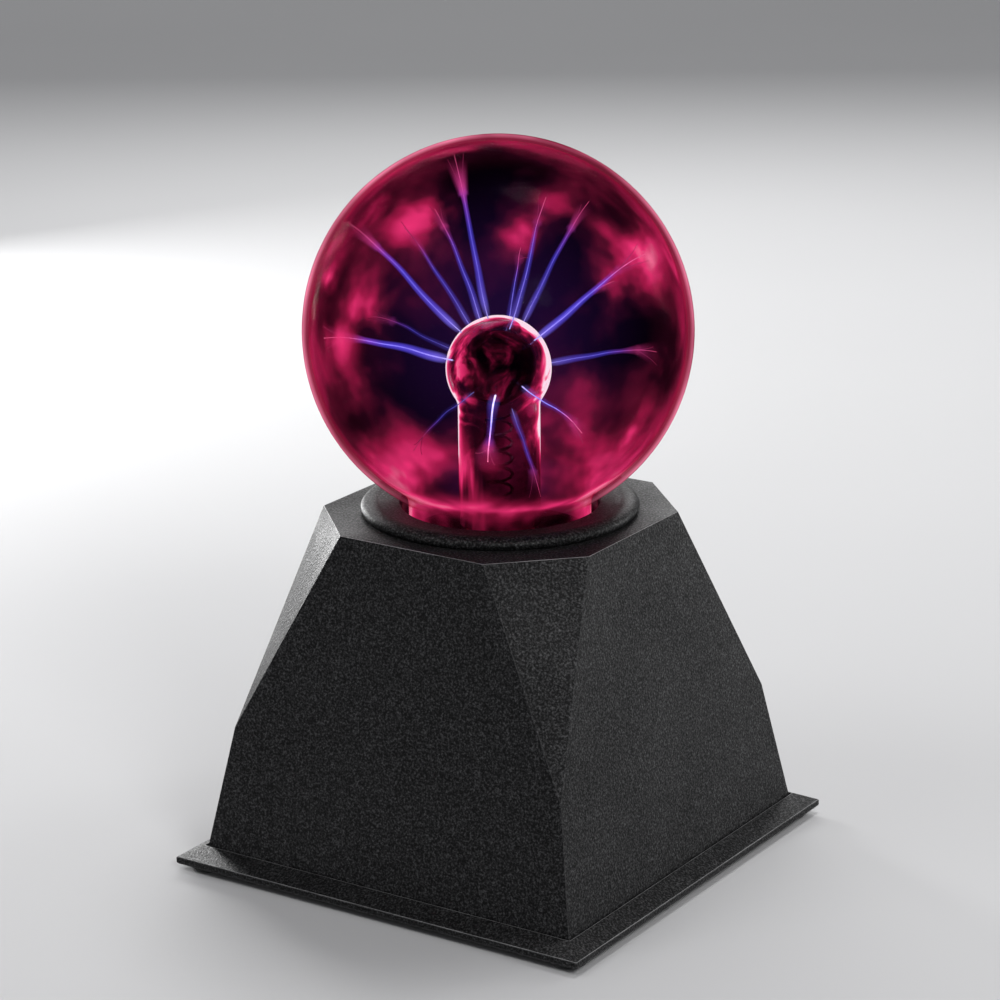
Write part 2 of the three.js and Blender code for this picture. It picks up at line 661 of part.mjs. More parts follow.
/** Springy contact that the carriage carries across the terminals. */
function contactBridge() {
  const front = CAN_FRONT - CAN_WALL - GAP - CARRIAGE.thick - GAP;
  const strip = { width: 8, depth: 3, thick: 0.5 };
  const leg = { width: 1, x: 3.5, reach: 1.4 };
  const legs = [-1, 1].map((side) => {
    return block(leg.width, strip.depth, 1, side * leg.x, 0, front - leg.reach);
  });
  return carve(block(strip.width, strip.depth, strip.thick, 0, 0, front - strip.thick), legs);
}

/** Supply socket: a bored nose that stands through the wall, a flange behind it, and two lugs. */
function jackBody() {
  const noseBack = -BODY_WALL - 0.5;
  const noseOut = 2.6;
  const nose = rod(JACK_HOLE_R, noseOut - noseBack, 0, 0, noseBack, 24);
  const flange = rod(6.5, 1.5, 0, 0, CAN_FRONT - 1.5, 24);
  const barrel = block(10, 9, JACK.depth - 1, 0, 0, CAN_FRONT - JACK.depth);
  const lugs = [-JACK.lugX, JACK.lugX].map((x) => block(2, 0.6, 6, x, 0, CAN_FRONT - JACK.lugEnd));
  const bore = rod(2.9, 16, 0, 0, CAN_FRONT - JACK.boreDepth, 20);
  return carve(barrel, [flange, nose, ...lugs], [bore]);
}

function jackPin() {
  const bottom = CAN_FRONT - JACK.boreDepth + GAP;
  return turned([[0, 10], [0.5, 9.8], [1, 9], [1, 0], [0, 0]], 12).translate(0, 0, bottom);
}

function jackNut() {
  const hexagon = rod(6.6, 1.8, 0, 0, GAP, 6);
  return carve(hexagon, [], [rod(JACK_HOLE_R + GAP, 6, 0, 0, -2, 24)]);
}

const BOOT_LIP = 1; // front of the boot, which holds the microphone off the wall

/** Rubber boot that the microphone is pushed into from behind. */
function microphoneBoot() {
  const front = CAN_FRONT;
  const back = front - 8;
  const bore = MIC.radius + GAP;
  const mouth = 3.6;
  return turned([
    [MIC_BOOT_R, front], [MIC_BOOT_R, back], [bore, back], [bore, front - BOOT_LIP],
    [mouth, front - BOOT_LIP], [mouth, front], [MIC_BOOT_R, front],
  ], 20);
}

function microphone() {
  const front = CAN_FRONT - BOOT_LIP - GAP;
  const back = front - MIC.depth;
  return turned([
    [0, front], [MIC.radius - 0.4, front], [MIC.radius, front - 0.5], [MIC.radius, back], [0, back],
  ], 20);
}

// ---- Assembly --------------------------------------------------------------------------------

const plasmaBall = new THREE.Group();

function addBase() {
  place(plasmaBall, 'base_housing', housing(), BLACK_PLASTIC);
  place(plasmaBall, 'base_plate', plate(), BLACK_PLASTIC);
  const headTop = PLATE_BOTTOM + HEAD_DEPTH - GAP;
  for (const [sx, sy, corner] of CORNERS) {
    place(plasmaBall, `foot_${corner}`, foot(), RUBBER, sx * FOOT_AT, sy * FOOT_AT, 0);
    const baseScrew = screw(BASE_SCREW, 16);
    place(plasmaBall, `base_screw_${corner}`, baseScrew, STEEL, sx * SCREW_AT, sy * SCREW_AT, headTop);
  }
}

function addGlobe() {
  const top = new THREE.Group();
  top.position.z = TOP_Z;
  plasmaBall.add(top);
  place(top, 'collar_ring', collar(), SATIN_BLACK);
  place(top, 'neck_gasket', neckGasket(), [0x2a2a2c, 0.95]);
  place(top, 'glass_globe', globe(), GLASS);
  place(top, 'electrode_tube', electrodeTube(), GLASS);
  place(top, 'electrode_core', electrodeCore(), [0x1d1b20, 0.6, 0.5], 0, 0, GLOBE_RISE - BULB_DROP);
  place(top, 'electrode_spring', electrodeSpring(), STEEL);
  place(top, 'tube_plug', tubePlug(), RUBBER);
  place(top, 'neck_cup', neckCup(), BLACK_PLASTIC);
  for (const [degrees, side] of CUP_ANGLES) {
    const [x, y] = onCircle(CUP_SCREW_AT, degrees);
    const z = FLANGE_TOP - FLANGE_THICK - GAP;
    place(top, `cup_screw_${side}`, screw(SMALL_SCREW, 7), STEEL, x, y, z);
  }
}

function addBoard() {
  const board = new THREE.Group();
  board.position.y = BOARD.y;
  plasmaBall.add(board);
  place(plasmaBall, 'circuit_board', circuitBoard(), [0x1f5c38, 0.45]);
  for (const [sx, sy, corner] of CORNERS) {
    const x = sx * BOARD_HOLE.x;
    const y = sy * BOARD_HOLE.y;
    place(board, `board_screw_${corner}`, screwDown(SMALL_SCREW, 7), STEEL, x, y, PART_Z);
  }
  const core = new THREE.Group();
  core.position.set(CORE.x, CORE.y, PART_Z);
  board.add(core);
  place(core, 'transformer_core_lower', coreHalf(), FERRITE);
  place(core, 'transformer_core_upper', coreHalf().rotateX(Math.PI), FERRITE, 0, 0, CORE.height + GAP);
  const middle = (CORE.height + GAP) / 2;
  const left = -CORE.spacing / 2;
  place(core, 'high_voltage_winding', bobbin(14.5, 12.8, 22, 3), [0x2b2a2c, 0.35], left, 0, middle);
  place(core, 'primary_winding', bobbin(10.5, 9.6, 22, 1), COPPER, -left, 0, middle);
  place(board, 'heat_sink', heatSink(), [0x9a9da1, 0.4, 1], SINK.x, SINK.y, PART_Z);
  const tabY = SINK.y - 2.3;
  place(board, 'power_transistor', transistor(), CHIP_BLACK, SINK.x, tabY, PART_Z);
  const tabScrew = screw(SMALL_SCREW, 5).rotateX(-Math.PI / 2);
  place(board, 'transistor_screw', tabScrew, STEEL, SINK.x, tabY - 1, PART_Z + TAB_HOLE_Z);
  place(board, 'supply_capacitor', canCapacitor(6.5, 20), [0x23345c, 0.35], 18, 20, PART_Z);
  place(board, 'coupling_capacitor', canCapacitor(4, 11), [0x23345c, 0.35], 36, 24, PART_Z);
  place(board, 'film_capacitor', filmCapacitor(), [0xa8642c, 0.4], 36, 8, PART_Z);
  place(board, 'control_chip', chip(), CHIP_BLACK, -6, 24, PART_Z);
  place(board, 'gain_resistor', resistor(), [0xc9b28a, 0.5], -26, 28, PART_Z + 2.6);
  place(board, 'timing_resistor', resistor(), [0xc9b28a, 0.5], -26, 20, PART_Z + 2.6);
}

function addRearPanel() {
  const rear = new THREE.Group();
  REAR.decompose(rear.position, rear.quaternion, rear.scale);
  plasmaBall.add(rear);
  place(rear, 'switch_can', switchCan(), TINNED, SWITCH_X);
  place(rear, 'switch_terminals', switchTerminals(), [0x6b4a2b, 0.6], SWITCH_X);
  place(rear, 'mode_slider', modeSlider(), SATIN_BLACK, SWITCH_X);
  place(rear, 'contact_bridge', contactBridge(), BRASS, SWITCH_X);
  for (const [side, name] of [[-1, 'left'], [1, 'right']]) {
    const x = SWITCH_X + side * SWITCH_SCREW_X;
    place(rear, `switch_screw_${name}`, screwDown(SMALL_SCREW, 6), STEEL, x, 0, GAP);
  }
  place(rear, 'dc_jack', jackBody(), SATIN_BLACK, JACK_X);
  place(rear, 'dc_jack_pin', jackPin(), TINNED, JACK_X);
  place(rear, 'dc_jack_nut', jackNut(), TINNED, JACK_X);
  place(rear, 'microphone_boot', microphoneBoot(), RUBBER);
  place(rear, 'microphone', microphone(), TINNED);
}

/** A point of the rear panel's frame in the frame of the whole object. */
function rearPoint(x, y, z) {
  return new Vector3(x, y, z).applyMatrix4(REAR).toArray();
}

function addWires() {
  const boardRear = BOARD.y + BOARD.depth / 2 - 5;
  const wireR = 0.8;
  const drop = PART_Z + wireR;
  const jackZ = CAN_FRONT - JACK.lugEnd - 1.2;
  const switchZ = CAN_FRONT - CAN.depth - TERMINAL.out - 1.3;
  const micZ = CAN_FRONT - BOOT_LIP - GAP - MIC.depth - 1.8;
  const micX = 1.3;
  const leads = [
    ['jack_wire_positive', 0xa01818, JACK_X - JACK.lugX, jackZ, -18],
    ['jack_wire_negative', 0x151515, JACK_X + JACK.lugX, jackZ, -24],
    ['switch_wire_supply', 0xa01818, SWITCH_X, switchZ, 14],
    ['switch_wire_sound', 0xd8b020, SWITCH_X + TERMINAL.pitch, switchZ, 8],
    ['microphone_wire_signal', 0xd8d8d8, micX, micZ, -2],
    ['microphone_wire_ground', 0x151515, -micX, micZ, 3],
  ];
  for (const [name, color, x, z, boardX] of leads) {
    const start = rearPoint(x, 0, z);
    const next = rearPoint(x, 0, z - 4);
    const middle = [(start[0] + boardX) / 2, boardRear + 12, drop + 10];
    const end = [[boardX, boardRear + 1, drop + 3], [boardX, boardRear, drop]];
    place(plasmaBall, name, wire(through([start, next, middle, ...end]), wireR, 12), [color, 0.5]);
  }
  const windingX = CORE.x - CORE.spacing / 2;
  const windingY = BOARD.y + CORE.y;
  const lead = through([
    [windingX - 16.6, windingY, PART_Z + 30], [windingX - 21, windingY, PART_Z + 36],
    [windingX - 12, windingY + 6, PART_Z + 62], [-8, -4, TOP_Z - 50], [0, 0, TOP_Z - NECK_DEPTH - 16],
    [0, 0, TOP_Z - NECK_DEPTH - 8], [0, 0, TOP_Z - NECK_DEPTH], [0, 0, TOP_Z - 2],
  ]);
  place(plasmaBall, 'high_voltage_lead', wire(lead, 1.9, 26, 8), [0xb02020, 0.45]);
}

addBase();
addGlobe();
addBoard();
addRearPanel();
addWires();

export default plasmaBall;
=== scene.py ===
"""Looks of the plasma ball: black grained plastic, rubber, glass, and the discharge in the globe."""
import json
import math
import random

import bmesh
import bpy
from mathutils import Matrix, Quaternion, Vector, noise


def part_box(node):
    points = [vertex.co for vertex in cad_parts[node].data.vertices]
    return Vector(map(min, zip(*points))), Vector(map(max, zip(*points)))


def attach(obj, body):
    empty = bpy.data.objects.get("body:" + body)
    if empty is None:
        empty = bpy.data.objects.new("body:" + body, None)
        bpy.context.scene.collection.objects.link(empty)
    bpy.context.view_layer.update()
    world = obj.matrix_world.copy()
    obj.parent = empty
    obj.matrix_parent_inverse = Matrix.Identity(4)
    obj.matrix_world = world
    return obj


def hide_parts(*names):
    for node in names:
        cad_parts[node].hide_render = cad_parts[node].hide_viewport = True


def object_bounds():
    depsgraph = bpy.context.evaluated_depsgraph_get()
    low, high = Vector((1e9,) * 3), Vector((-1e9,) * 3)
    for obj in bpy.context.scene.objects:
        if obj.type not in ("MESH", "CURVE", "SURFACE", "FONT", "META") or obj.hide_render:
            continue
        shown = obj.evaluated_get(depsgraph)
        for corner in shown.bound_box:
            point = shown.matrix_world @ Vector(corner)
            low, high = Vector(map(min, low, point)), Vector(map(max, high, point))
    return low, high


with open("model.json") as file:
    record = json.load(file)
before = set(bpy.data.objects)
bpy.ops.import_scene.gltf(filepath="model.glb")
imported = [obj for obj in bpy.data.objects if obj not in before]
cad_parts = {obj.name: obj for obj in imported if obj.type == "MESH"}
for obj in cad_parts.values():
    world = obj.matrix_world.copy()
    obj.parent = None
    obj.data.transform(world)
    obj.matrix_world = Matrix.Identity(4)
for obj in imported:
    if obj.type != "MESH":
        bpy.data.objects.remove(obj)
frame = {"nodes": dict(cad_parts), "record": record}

MM = 0.001
cad_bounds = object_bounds()
NODES = frame["nodes"]

# ---- Places read from the frame, and sizes ------------------------------------------------------

TOP_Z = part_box("base_housing")[1].z             # top face of the base
GLOBE_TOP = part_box("glass_globe")[1].z
TUBE_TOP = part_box("electrode_tube")[1].z
NECK_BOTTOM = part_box("electrode_tube")[0].z
COLLAR_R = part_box("collar_ring")[1].x
TABLE_Z = cad_bounds[0][2]

GAP = 0.3 * MM                                  # between pieces that fit together
GLOBE_R = 75 * MM
GLOBE_WALL = 2.4 * MM
NECK_R = 38 * MM
NECK_FILLET = 8 * MM                            # between the globe and its neck
NECK_FOOT = 4 * MM                              # rounding at the neck's lower end
BULB_R = 20 * MM
TUBE_R = 15.5 * MM
TUBE_WALL = 1.6 * MM
TUBE_FILLET = 8 * MM                            # between the bulb and its tube
TUBE_FLARE = 6 * MM                             # height of the tube's flared lower end
SEAL_R = 18 * MM                                # hole that the electrode tube is sealed into
SKIRT_R = 43.3 * MM                             # collar's skirt inside the base, outside
SKIRT_WALL = 2 * MM

GLOBE_CENTRE = Vector((0, 0, GLOBE_TOP - GLOBE_R))
BULB_CENTRE = Vector((0, 0, TUBE_TOP - BULB_R))
GAS_R = GLOBE_R - GLOBE_WALL - 0.4 * MM         # where the streamers meet the glass

VIEW_AZIMUTH = math.radians(33.5)
VIEW_ELEVATION = math.radians(17.3)
VIEW_ROLL = math.radians(-0.6)
VIEW_DISTANCE = 1.347
LIGHT_AIM = Vector((0, 0, 0.14))                # middle of the object


def direction_at(azimuth, elevation):
    """Unit vector from the object towards an azimuth and elevation in radians."""
    level = math.cos(elevation)
    return Vector((math.sin(azimuth) * level, -math.cos(azimuth) * level, math.sin(elevation)))


VIEW_BACK = direction_at(VIEW_AZIMUTH, VIEW_ELEVATION)
VIEW_RIGHT = Vector((math.cos(VIEW_AZIMUTH), math.sin(VIEW_AZIMUTH), 0))
VIEW_UP = VIEW_BACK.cross(VIEW_RIGHT)

# ---- Mesh helpers -----------------------------------------------------------------------------

MERGE_DISTANCE = 0.002 * MM
FLAT_ANGLE = math.radians(1)                    # faces closer than this are one flat face


def new_object(name, mesh, material, body="base", replaced=()):
    """Links a mesh as a piece that rides on a body, with its finish and the CAD nodes it stands for."""
    piece = bpy.data.objects.new(name, mesh)
    bpy.context.scene.collection.objects.link(piece)
    piece.data.materials.clear()
    piece.data.materials.append(material)
    if replaced:
        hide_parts(*replaced)
    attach(piece, body)
    return piece


def to_mesh(bm, name, sharp_angle=None):
    """Turns a bmesh into a smooth mesh, with edges sharper than sharp_angle in degrees kept sharp."""
    mesh = bpy.data.meshes.new(name)
    bmesh.ops.recalc_face_normals(bm, faces=bm.faces)
    bm.to_mesh(mesh)
    bm.free()
    mesh.polygons.foreach_set("use_smooth", [True] * len(mesh.polygons))
    if sharp_angle is not None:
        mesh.set_sharp_from_angle(angle=math.radians(sharp_angle))
    return mesh


def arc(r, z, radius, start, end, steps, radius_z=None):
    """Points of a round stretch of a turned profile, with angles in degrees up from outward."""
    radius_z = radius if radius_z is None else radius_z
    points = []
    for i in range(steps + 1):
        angle = math.radians(start + (end - start) * i / steps)
        points.append((r + radius * math.cos(angle), z + radius_z * math.sin(angle)))
    return points


def turned(name, profile, sides=96, sharp_angle=40, loop=False):
    """A solid of revolution about Z from (radius, height) points. A loop profile closes on itself."""
    on_axis = 0.0001 * MM
    bm = bmesh.new()
    rings = []
    for r, z in profile:
        if r < on_axis:
            rings.append([bm.verts.new((0, 0, z))])
            continue
        ring = []
        for i in range(sides):
            angle = 2 * math.pi * i / sides
            ring.append(bm.verts.new((r * math.cos(angle), r * math.sin(angle), z)))
        rings.append(ring)
    pairs = list(zip(rings, rings[1:]))
    if loop:
        pairs.append((rings[-1], rings[0]))
    for lower, upper in pairs:
        for i in range(sides):
            j = (i + 1) % sides
            face = []
            for ring, k in ((lower, i), (lower, j), (upper, j), (upper, i)):
                corner = ring[k % len(ring)]
                if corner not in face:
                    face.append(corner)
            if len(face) > 2:
                bm.faces.new(face)
    return to_mesh(bm, name, sharp_angle)


def refined(node, width, segments=2, shortest=0.0, crease=20, sharp_angle=35):
    """A copy of a CAD node's mesh with its flat faces rebuilt and its sharp edges rounded.

    Only edges longer than shortest that turn by more than crease degrees are rounded. The rounded
    strips are marked 1 in the face attribute "edge".
    """
    bm = bmesh.new()
    bm.from_mesh(NODES[node].data)
    mark = bm.faces.layers.float.new("edge")
    bmesh.ops.remove_doubles(bm, verts=bm.verts, dist=MERGE_DISTANCE)
    bmesh.ops.dissolve_limit(bm, angle_limit=FLAT_ANGLE, verts=bm.verts, edges=bm.edges)
    edges = [
        edge for edge in bm.edges
        if edge.is_manifold
        and edge.calc_length() > shortest
        and edge.calc_face_angle(0) > math.radians(crease)
    ]
    if edges:
        rounded = bmesh.ops.bevel(bm, geom=edges, offset=width, segments=segments, profile=0.6,
                                  affect="EDGES", clamp_overlap=True)
        for face in rounded["faces"]:
            face[mark] = 1.0
    bmesh.ops.triangulate(bm, faces=[face for face in bm.faces if len(face.verts) > 4])
    return to_mesh(bm, node, sharp_angle)


def weight_normals(piece):
    """Keeps big flat faces flat beside their rounded edges."""
    modifier = piece.modifiers.new("weighted_normals", "WEIGHTED_NORMAL")
    modifier.keep_sharp = True


# ---- Material helpers ---------------------------------------------------------------------------

WHITE = (1, 1, 1, 1)


def shade(colour, factor, lift=0.0):
    """A colour made darker or lighter by a factor, with an even lift on top."""
    return tuple(min(1.0, factor * c + lift) for c in colour)


class Nodes:
    """A short way to write a node tree: each call adds nodes and returns an output of the last one."""

    def __init__(self, name):
        self.material = bpy.data.materials.new(name)
        self.material.use_nodes = True
        self.tree = self.material.node_tree
        self.tree.nodes.clear()
        self.out = self.tree.nodes.new("ShaderNodeOutputMaterial")

    def add(self, kind, output=0, inputs=None, **settings):
        """Adds a node. An input is either another node's output or a plain value."""
        node = self.tree.nodes.new("ShaderNode" + kind)
        for key, value in settings.items():
            setattr(node, key, value)
        for key, value in (inputs or {}).items():
            self.set_input(node.inputs[key], value)
        return node.outputs[output]

    def set_input(self, socket, value):
        if isinstance(value, bpy.types.NodeSocket):
            self.tree.links.new(value, socket)
        else:
            socket.default_value = value

    def position(self):
        return self.add("TexCoord", "Object")

    def height(self):
        return self.add("SeparateXYZ", "Z", {0: self.position()})

    def attribute(self, name):
        return self.add("Attribute", "Fac", attribute_name=name)

    def noise(self, scale, detail=2.0, roughness=0.5, vector=None, distortion=0.0):
        """Soft noise around 0.5, with scale as the number of blobs in a metre."""
        vector = self.position() if vector is None else vector
        return self.add("TexNoise", "Fac", {"Vector": vector, "Scale": scale, "Detail": detail,
                                            "Roughness": roughness, "Distortion": distortion})

    def stretched(self, scale):
        """The position with each axis scaled, so that a pattern on it comes out stretched."""
        return self.add("Mapping", 0, {"Vector": self.position(), "Scale": scale})

    def maths(self, operation, a, b=0.0):
        return self.add("Math", 0, {0: a, 1: b}, operation=operation)

    def plus(self, total, *terms):
        for term in terms:
            total = self.maths("ADD", total, term)
        return total

    def times(self, product, *factors):
        for factor in factors:
            product = self.maths("MULTIPLY", product, factor)
        return product

    def power(self, value, exponent):
        return self.maths("POWER", value, exponent)

    def rest_of(self, share):
        """What a share leaves of 1."""
        return self.maths("SUBTRACT", 1.0, share)

    def spread(self, value, from_min, from_max, to_min=0.0, to_max=1.0):
        """Maps one range onto another, and holds the value at the ends."""
        return self.add("MapRange", 0, {"Value": value, "From Min": from_min, "From Max": from_max,
                                        "To Min": to_min, "To Max": to_max})

    def mix(self, factor, a, b, blend="MIX"):
        node = self.tree.nodes.new("ShaderNodeMix")
        node.data_type = "RGBA"
        node.blend_type = blend
        factor_input, a_input, b_input, colour_output = 0, 6, 7, 2
        self.set_input(node.inputs[factor_input], factor)
        for key, colour in ((a_input, a), (b_input, b)):
            self.set_input(node.inputs[key], (*colour, 1) if isinstance(colour, tuple) else colour)
        return node.outputs[colour_output]

    def ramp(self, value, stops):
        node = self.tree.nodes.new("ShaderNodeValToRGB")
        self.tree.links.new(value, node.inputs[0])
        elements = node.color_ramp.elements
        while len(elements) < len(stops):
            elements.new(0.5)
        for element, (at, colour) in zip(elements, stops):
            element.position = at
            element.color = (*colour, 1)
        return node.outputs[0]

    def bump(self, height, distance):
        return self.add("Bump", 0, {"Height": height, "Distance": distance, "Strength": 1.0})

    def facing(self):
        """1 where the surface faces the eye and 0 where it is seen edge on, from either side."""
        normal = self.add("NewGeometry", "Normal")
        incoming = self.add("NewGeometry", "Incoming")
        cosine = self.add("VectorMath", "Value", {0: normal, 1: incoming}, operation="DOT_PRODUCT")
        return self.maths("ABSOLUTE", cosine)

    def grazing(self):
        """0 where the surface faces the eye and 1 where it is seen edge on."""
        return self.rest_of(self.facing())

    def principled(self, **inputs):
        """The main surface shader. An input's name has _ for each space."""
        names = {key.replace("_", " "): value for key, value in inputs.items()}
        for key, value in names.items():
            if key.endswith("Color") and isinstance(value, tuple):
                names[key] = (*value, 1)
        return self.add("BsdfPrincipled", 0, names)

    def blend(self, share, first, second):
        """One shader turning into another as the share goes from 0 to 1."""
        return self.add("MixShader", 0, {0: share, 1: first, 2: second})

    def light(self, colour):
        return self.add("Emission", 0, {"Color": colour, "Strength": 1.0})

    def clear(self, colour=WHITE):
        return self.add("BsdfTransparent", 0, {"Color": colour})

    def veil(self, thickness, colour):
        """Light of a colour that hides what is behind it as the thickness goes from 0 to 1."""
        return self.blend(thickness, self.clear(), self.light(colour))

    def finish(self, shader):
        self.tree.links.new(shader, self.out.inputs["Surface"])
        return self.material


# ---- Solid materials ----------------------------------------------------------------------------


def edge_wear_and_highlight(n):
    """How light a rounded edge is painted: rubbed and uneven along it, lightest where it faces up as a
    painted highlight, and 0 on flat faces.
    """
    normal_z = n.add("SeparateXYZ", "Z", {0: n.add("NewGeometry", "Normal")})
    # Painted highlight: edges that face up get lighter, as if lit from above.
    upward_highlight = n.spread(normal_z, 0.45, 0.75, 0.10, 1.0)
    uneven = n.spread(n.noise(60, 3.0), 0.35, 0.65, 0.5, 1.0)
    return n.times(n.attribute("edge"), upward_highlight, uneven)


def grained_plastic(name, colour, roughness=0.55, grain=0.85 * MM, depth=0.14 * MM, wear_and_highlight=0.9, shine=0.28):
    """Spark-eroded black plastic: fine grain with light specks, cloudy gloss, and rounded edges painted
    lighter, partly as wear and partly as a painted highlight where they face up.

    grain is the size of a speck, depth is its relief, wear_and_highlight is how light the rubbed, highlit
    edges get from 0 to 1, and shine is the middle of the grain's gloss.
    """
    n = Nodes(name)
    fine = n.noise(1 / grain, 2.0, 0.7)
    pits = n.add("TexVoronoi", "Distance", {"Vector": n.position(), "Scale": 0.8 / grain})
    relief = n.bump(n.plus(fine, n.times(pits, 0.6)), depth)
    speck = n.power(n.spread(fine, 0.37, 0.70), 2.0)
    rub_and_highlight = edge_wear_and_highlight(n)
    base = n.mix(speck, shade(colour, 0.35), shade(colour, 3.4, 0.030))
    # Rounded edges painted lighter: partly real wear, partly a painted highlight on edges that face up.
    base = n.mix(n.times(rub_and_highlight, wear_and_highlight), base, shade(colour, 10, 0.34))
    cloud = n.noise(24, 4.0, 0.6)
    rough = n.spread(cloud, 0.3, 0.7, roughness - 0.09, roughness + 0.09)
    rough = n.maths("SUBTRACT", rough, n.times(rub_and_highlight, 0.2))
    gloss = n.spread(speck, 0.0, 1.0, 0.5 * shine, 2.0 * shine)
    return n.finish(n.principled(Base_Color=base, Roughness=rough, Normal=relief,
                                 Specular_IOR_Level=gloss))


def rubber(name, colour, roughness=0.8):
    """Moulded rubber: matt, with a soft bloom and tiny pits."""
    n = Nodes(name)
    bloom = n.spread(n.noise(120, 5.0, 0.6), 0.35, 0.7)
    base = n.mix(n.times(bloom, 0.4), colour, shade(colour, 2.5, 0.01))
    rough = n.spread(bloom, 0, 1, roughness - 0.08, roughness + 0.1)
    pits = n.bump(n.noise(2200, 2.0), 0.04 * MM)
    return n.finish(n.principled(Base_Color=base, Roughness=rough, Normal=pits, Specular_IOR_Level=0.3,
                                 Sheen_Weight=0.1))


def metal(name, colour, roughness=0.28, brushed=(1, 1, 12), depth=0.004 * MM):
    """Plated or drawn metal with fine lines, patches of tarnish and uneven gloss."""
    n = Nodes(name)
    lines = n.noise(1500, 3.0, 0.6, n.stretched(brushed))
    tarnish = n.spread(n.noise(180, 5.0, 0.65), 0.4, 0.75)
    base = n.mix(n.times(tarnish, 0.35), colour, shade(colour, 0.55))
    rough = n.spread(lines, 0.3, 0.7, roughness - 0.06, roughness + 0.08)
    rough = n.plus(rough, n.times(tarnish, 0.12))
    return n.finish(n.principled(Base_Color=base, Metallic=1.0, Roughness=rough,
                                 Normal=n.bump(lines, depth)))


def glossy_coat(name, colour, roughness=0.3):
    """Smooth moulded or dipped plastic with slight orange peel and dust."""
    n = Nodes(name)
    peel = n.bump(n.noise(400, 2.0), 0.01 * MM)
    dust = n.spread(n.noise(900, 4.0, 0.7), 0.55, 0.75)
    dust_grey = (0.35, 0.34, 0.33)
    base = n.mix(n.times(dust, 0.15), colour, dust_grey)
    rough = n.spread(dust, 0, 1, roughness, roughness + 0.25)
    return n.finish(n.principled(Base_Color=base, Roughness=rough, Normal=peel, Specular_IOR_Level=0.5,
                                 Coat_Weight=0.15))


def board_laminate(name):
    """Green solder mask with the glass weave and the copper tracks showing faintly through it."""
    n = Nodes(name)
    mask_green, track_green, weave_green = (0.012, 0.085, 0.03), (0.05, 0.19, 0.07), (0.10, 0.25, 0.12)
    x_weave = n.add("TexWave", "Fac", {"Vector": n.position(), "Scale": 500.0}, bands_direction="X")
    y_weave = n.add("TexWave", "Fac", {"Vector": n.position(), "Scale": 500.0}, bands_direction="Y")
    weave = n.times(x_weave, y_weave)
    tracks = n.add("TexBrick", "Fac", {"Vector": n.position(), "Scale": 60.0, "Mortar Size": 0.012,
                                       "Brick Width": 0.9, "Row Height": 0.35})
    base = n.mix(n.times(tracks, 0.6), mask_green, track_green)
    base = n.mix(n.times(weave, 0.12), base, weave_green)
    relief = n.bump(n.plus(tracks, n.times(weave, 0.2)), 0.03 * MM)
    rough = n.spread(n.noise(90, 4.0), 0.3, 0.7, 0.25, 0.42)
    return n.finish(n.principled(Base_Color=base, Roughness=rough, Normal=relief, Coat_Weight=0.3))


# ---- Glass --------------------------------------------------------------------------------------


def clear_glass(n, tint, painted_glow_edge_tint, face_shine, edge_shine):
    """Polished thin glass: clear face on, mirroring towards its edge, with faint smears, and tinted towards
    its edge in a painted colour that stands in for the discharge's light in the glass wall.
    """
    grazing = n.grazing()
    smear = n.noise(14, 5.0, 0.6, distortion=0.6)
    rough = n.spread(smear, 0.45, 0.75, 0.02, 0.06)
    ripple = n.bump(n.noise(10, 2.0), 0.08 * MM)
    mirror = n.add("BsdfGlossy", 0, {"Color": WHITE, "Roughness": rough, "Normal": ripple})
    glaze = n.plus(face_shine, n.times(n.power(grazing, 5.0), edge_shine))
    # Painted light: the edge tint stands in for the discharge's light caught in the glass wall.
    colour = n.mix(n.spread(grazing, 0.80, 0.96), tint, painted_glow_edge_tint)
    return n.blend(glaze, n.clear(colour), mirror)


def electrode_glass(name):
    """Clear glass with a pink edge tint, painted in for the discharge's light in the glass wall."""
    n = Nodes(name)
    return n.finish(clear_glass(n, (0.92, 0.88, 0.93), (0.5, 0.15, 0.22), 0.03, 0.08))


def globe_glass(name):
    """Clear glass whose outer skin carries the discharge's light at its edge, with a pale line in it."""
    n = Nodes(name)
    # Its red edge tint is painted light from the discharge in the glass wall.
    glass = clear_glass(n, (0.985, 0.98, 0.99), (0.5, 0.10, 0.16), 0.0002, 0.003)
    grazing = n.grazing()
    height = n.height()
    patchy = n.spread(n.noise(18, 3.0), 0.32, 0.60)
    patchy = n.times(patchy, n.spread(height, TOP_Z + 8 * MM, TOP_Z + 24 * MM, 0.25, 1.0))
    deep = n.mix(patchy, (0.075, 0.003, 0.012), (0.34, 0.014, 0.06))
    bright = n.mix(patchy, (0.24, 0.012, 0.045), (1.0, 0.26, 0.42))
    line = n.times(n.spread(grazing, 0.78, 0.88), n.spread(grazing, 0.90, 1.0, 1.0, 0.2))
    from_centre = n.add("VectorMath", "Value", {0: n.position(), 1: GLOBE_CENTRE}, operation="DISTANCE")
    outer_skin = n.maths("GREATER_THAN", from_centre, GLOBE_R - GLOBE_WALL / 2)
    above_neck = n.spread(height, TOP_Z + 7 * MM, TOP_Z + 22 * MM, 0.1, 1.0)
    band = n.times(n.spread(grazing, 0.69, 0.76), outer_skin, 0.92, above_neck)
    return n.finish(n.blend(band, glass, n.light(n.mix(line, deep, bright))))


# ---- Discharge materials ------------------------------------------------------------------------

# Near black: the bulb filling's own colour, and on the far gas a painted shade.
DARK = (0.004, 0.002, 0.004)

CLOUD_STOPS = [                                 # colour of the gas by its brightness
    (0.00, (0.0, 0.0, 0.0)),
    (0.15, (0.016, 0.001, 0.005)),
    (0.30, (0.085, 0.004, 0.017)),
    (0.50, (0.36, 0.010, 0.060)),
    (0.70, (0.82, 0.032, 0.165)),
    (0.86, (1.0, 0.20, 0.36)),
    (1.00, (1.0, 0.74, 0.86)),
]

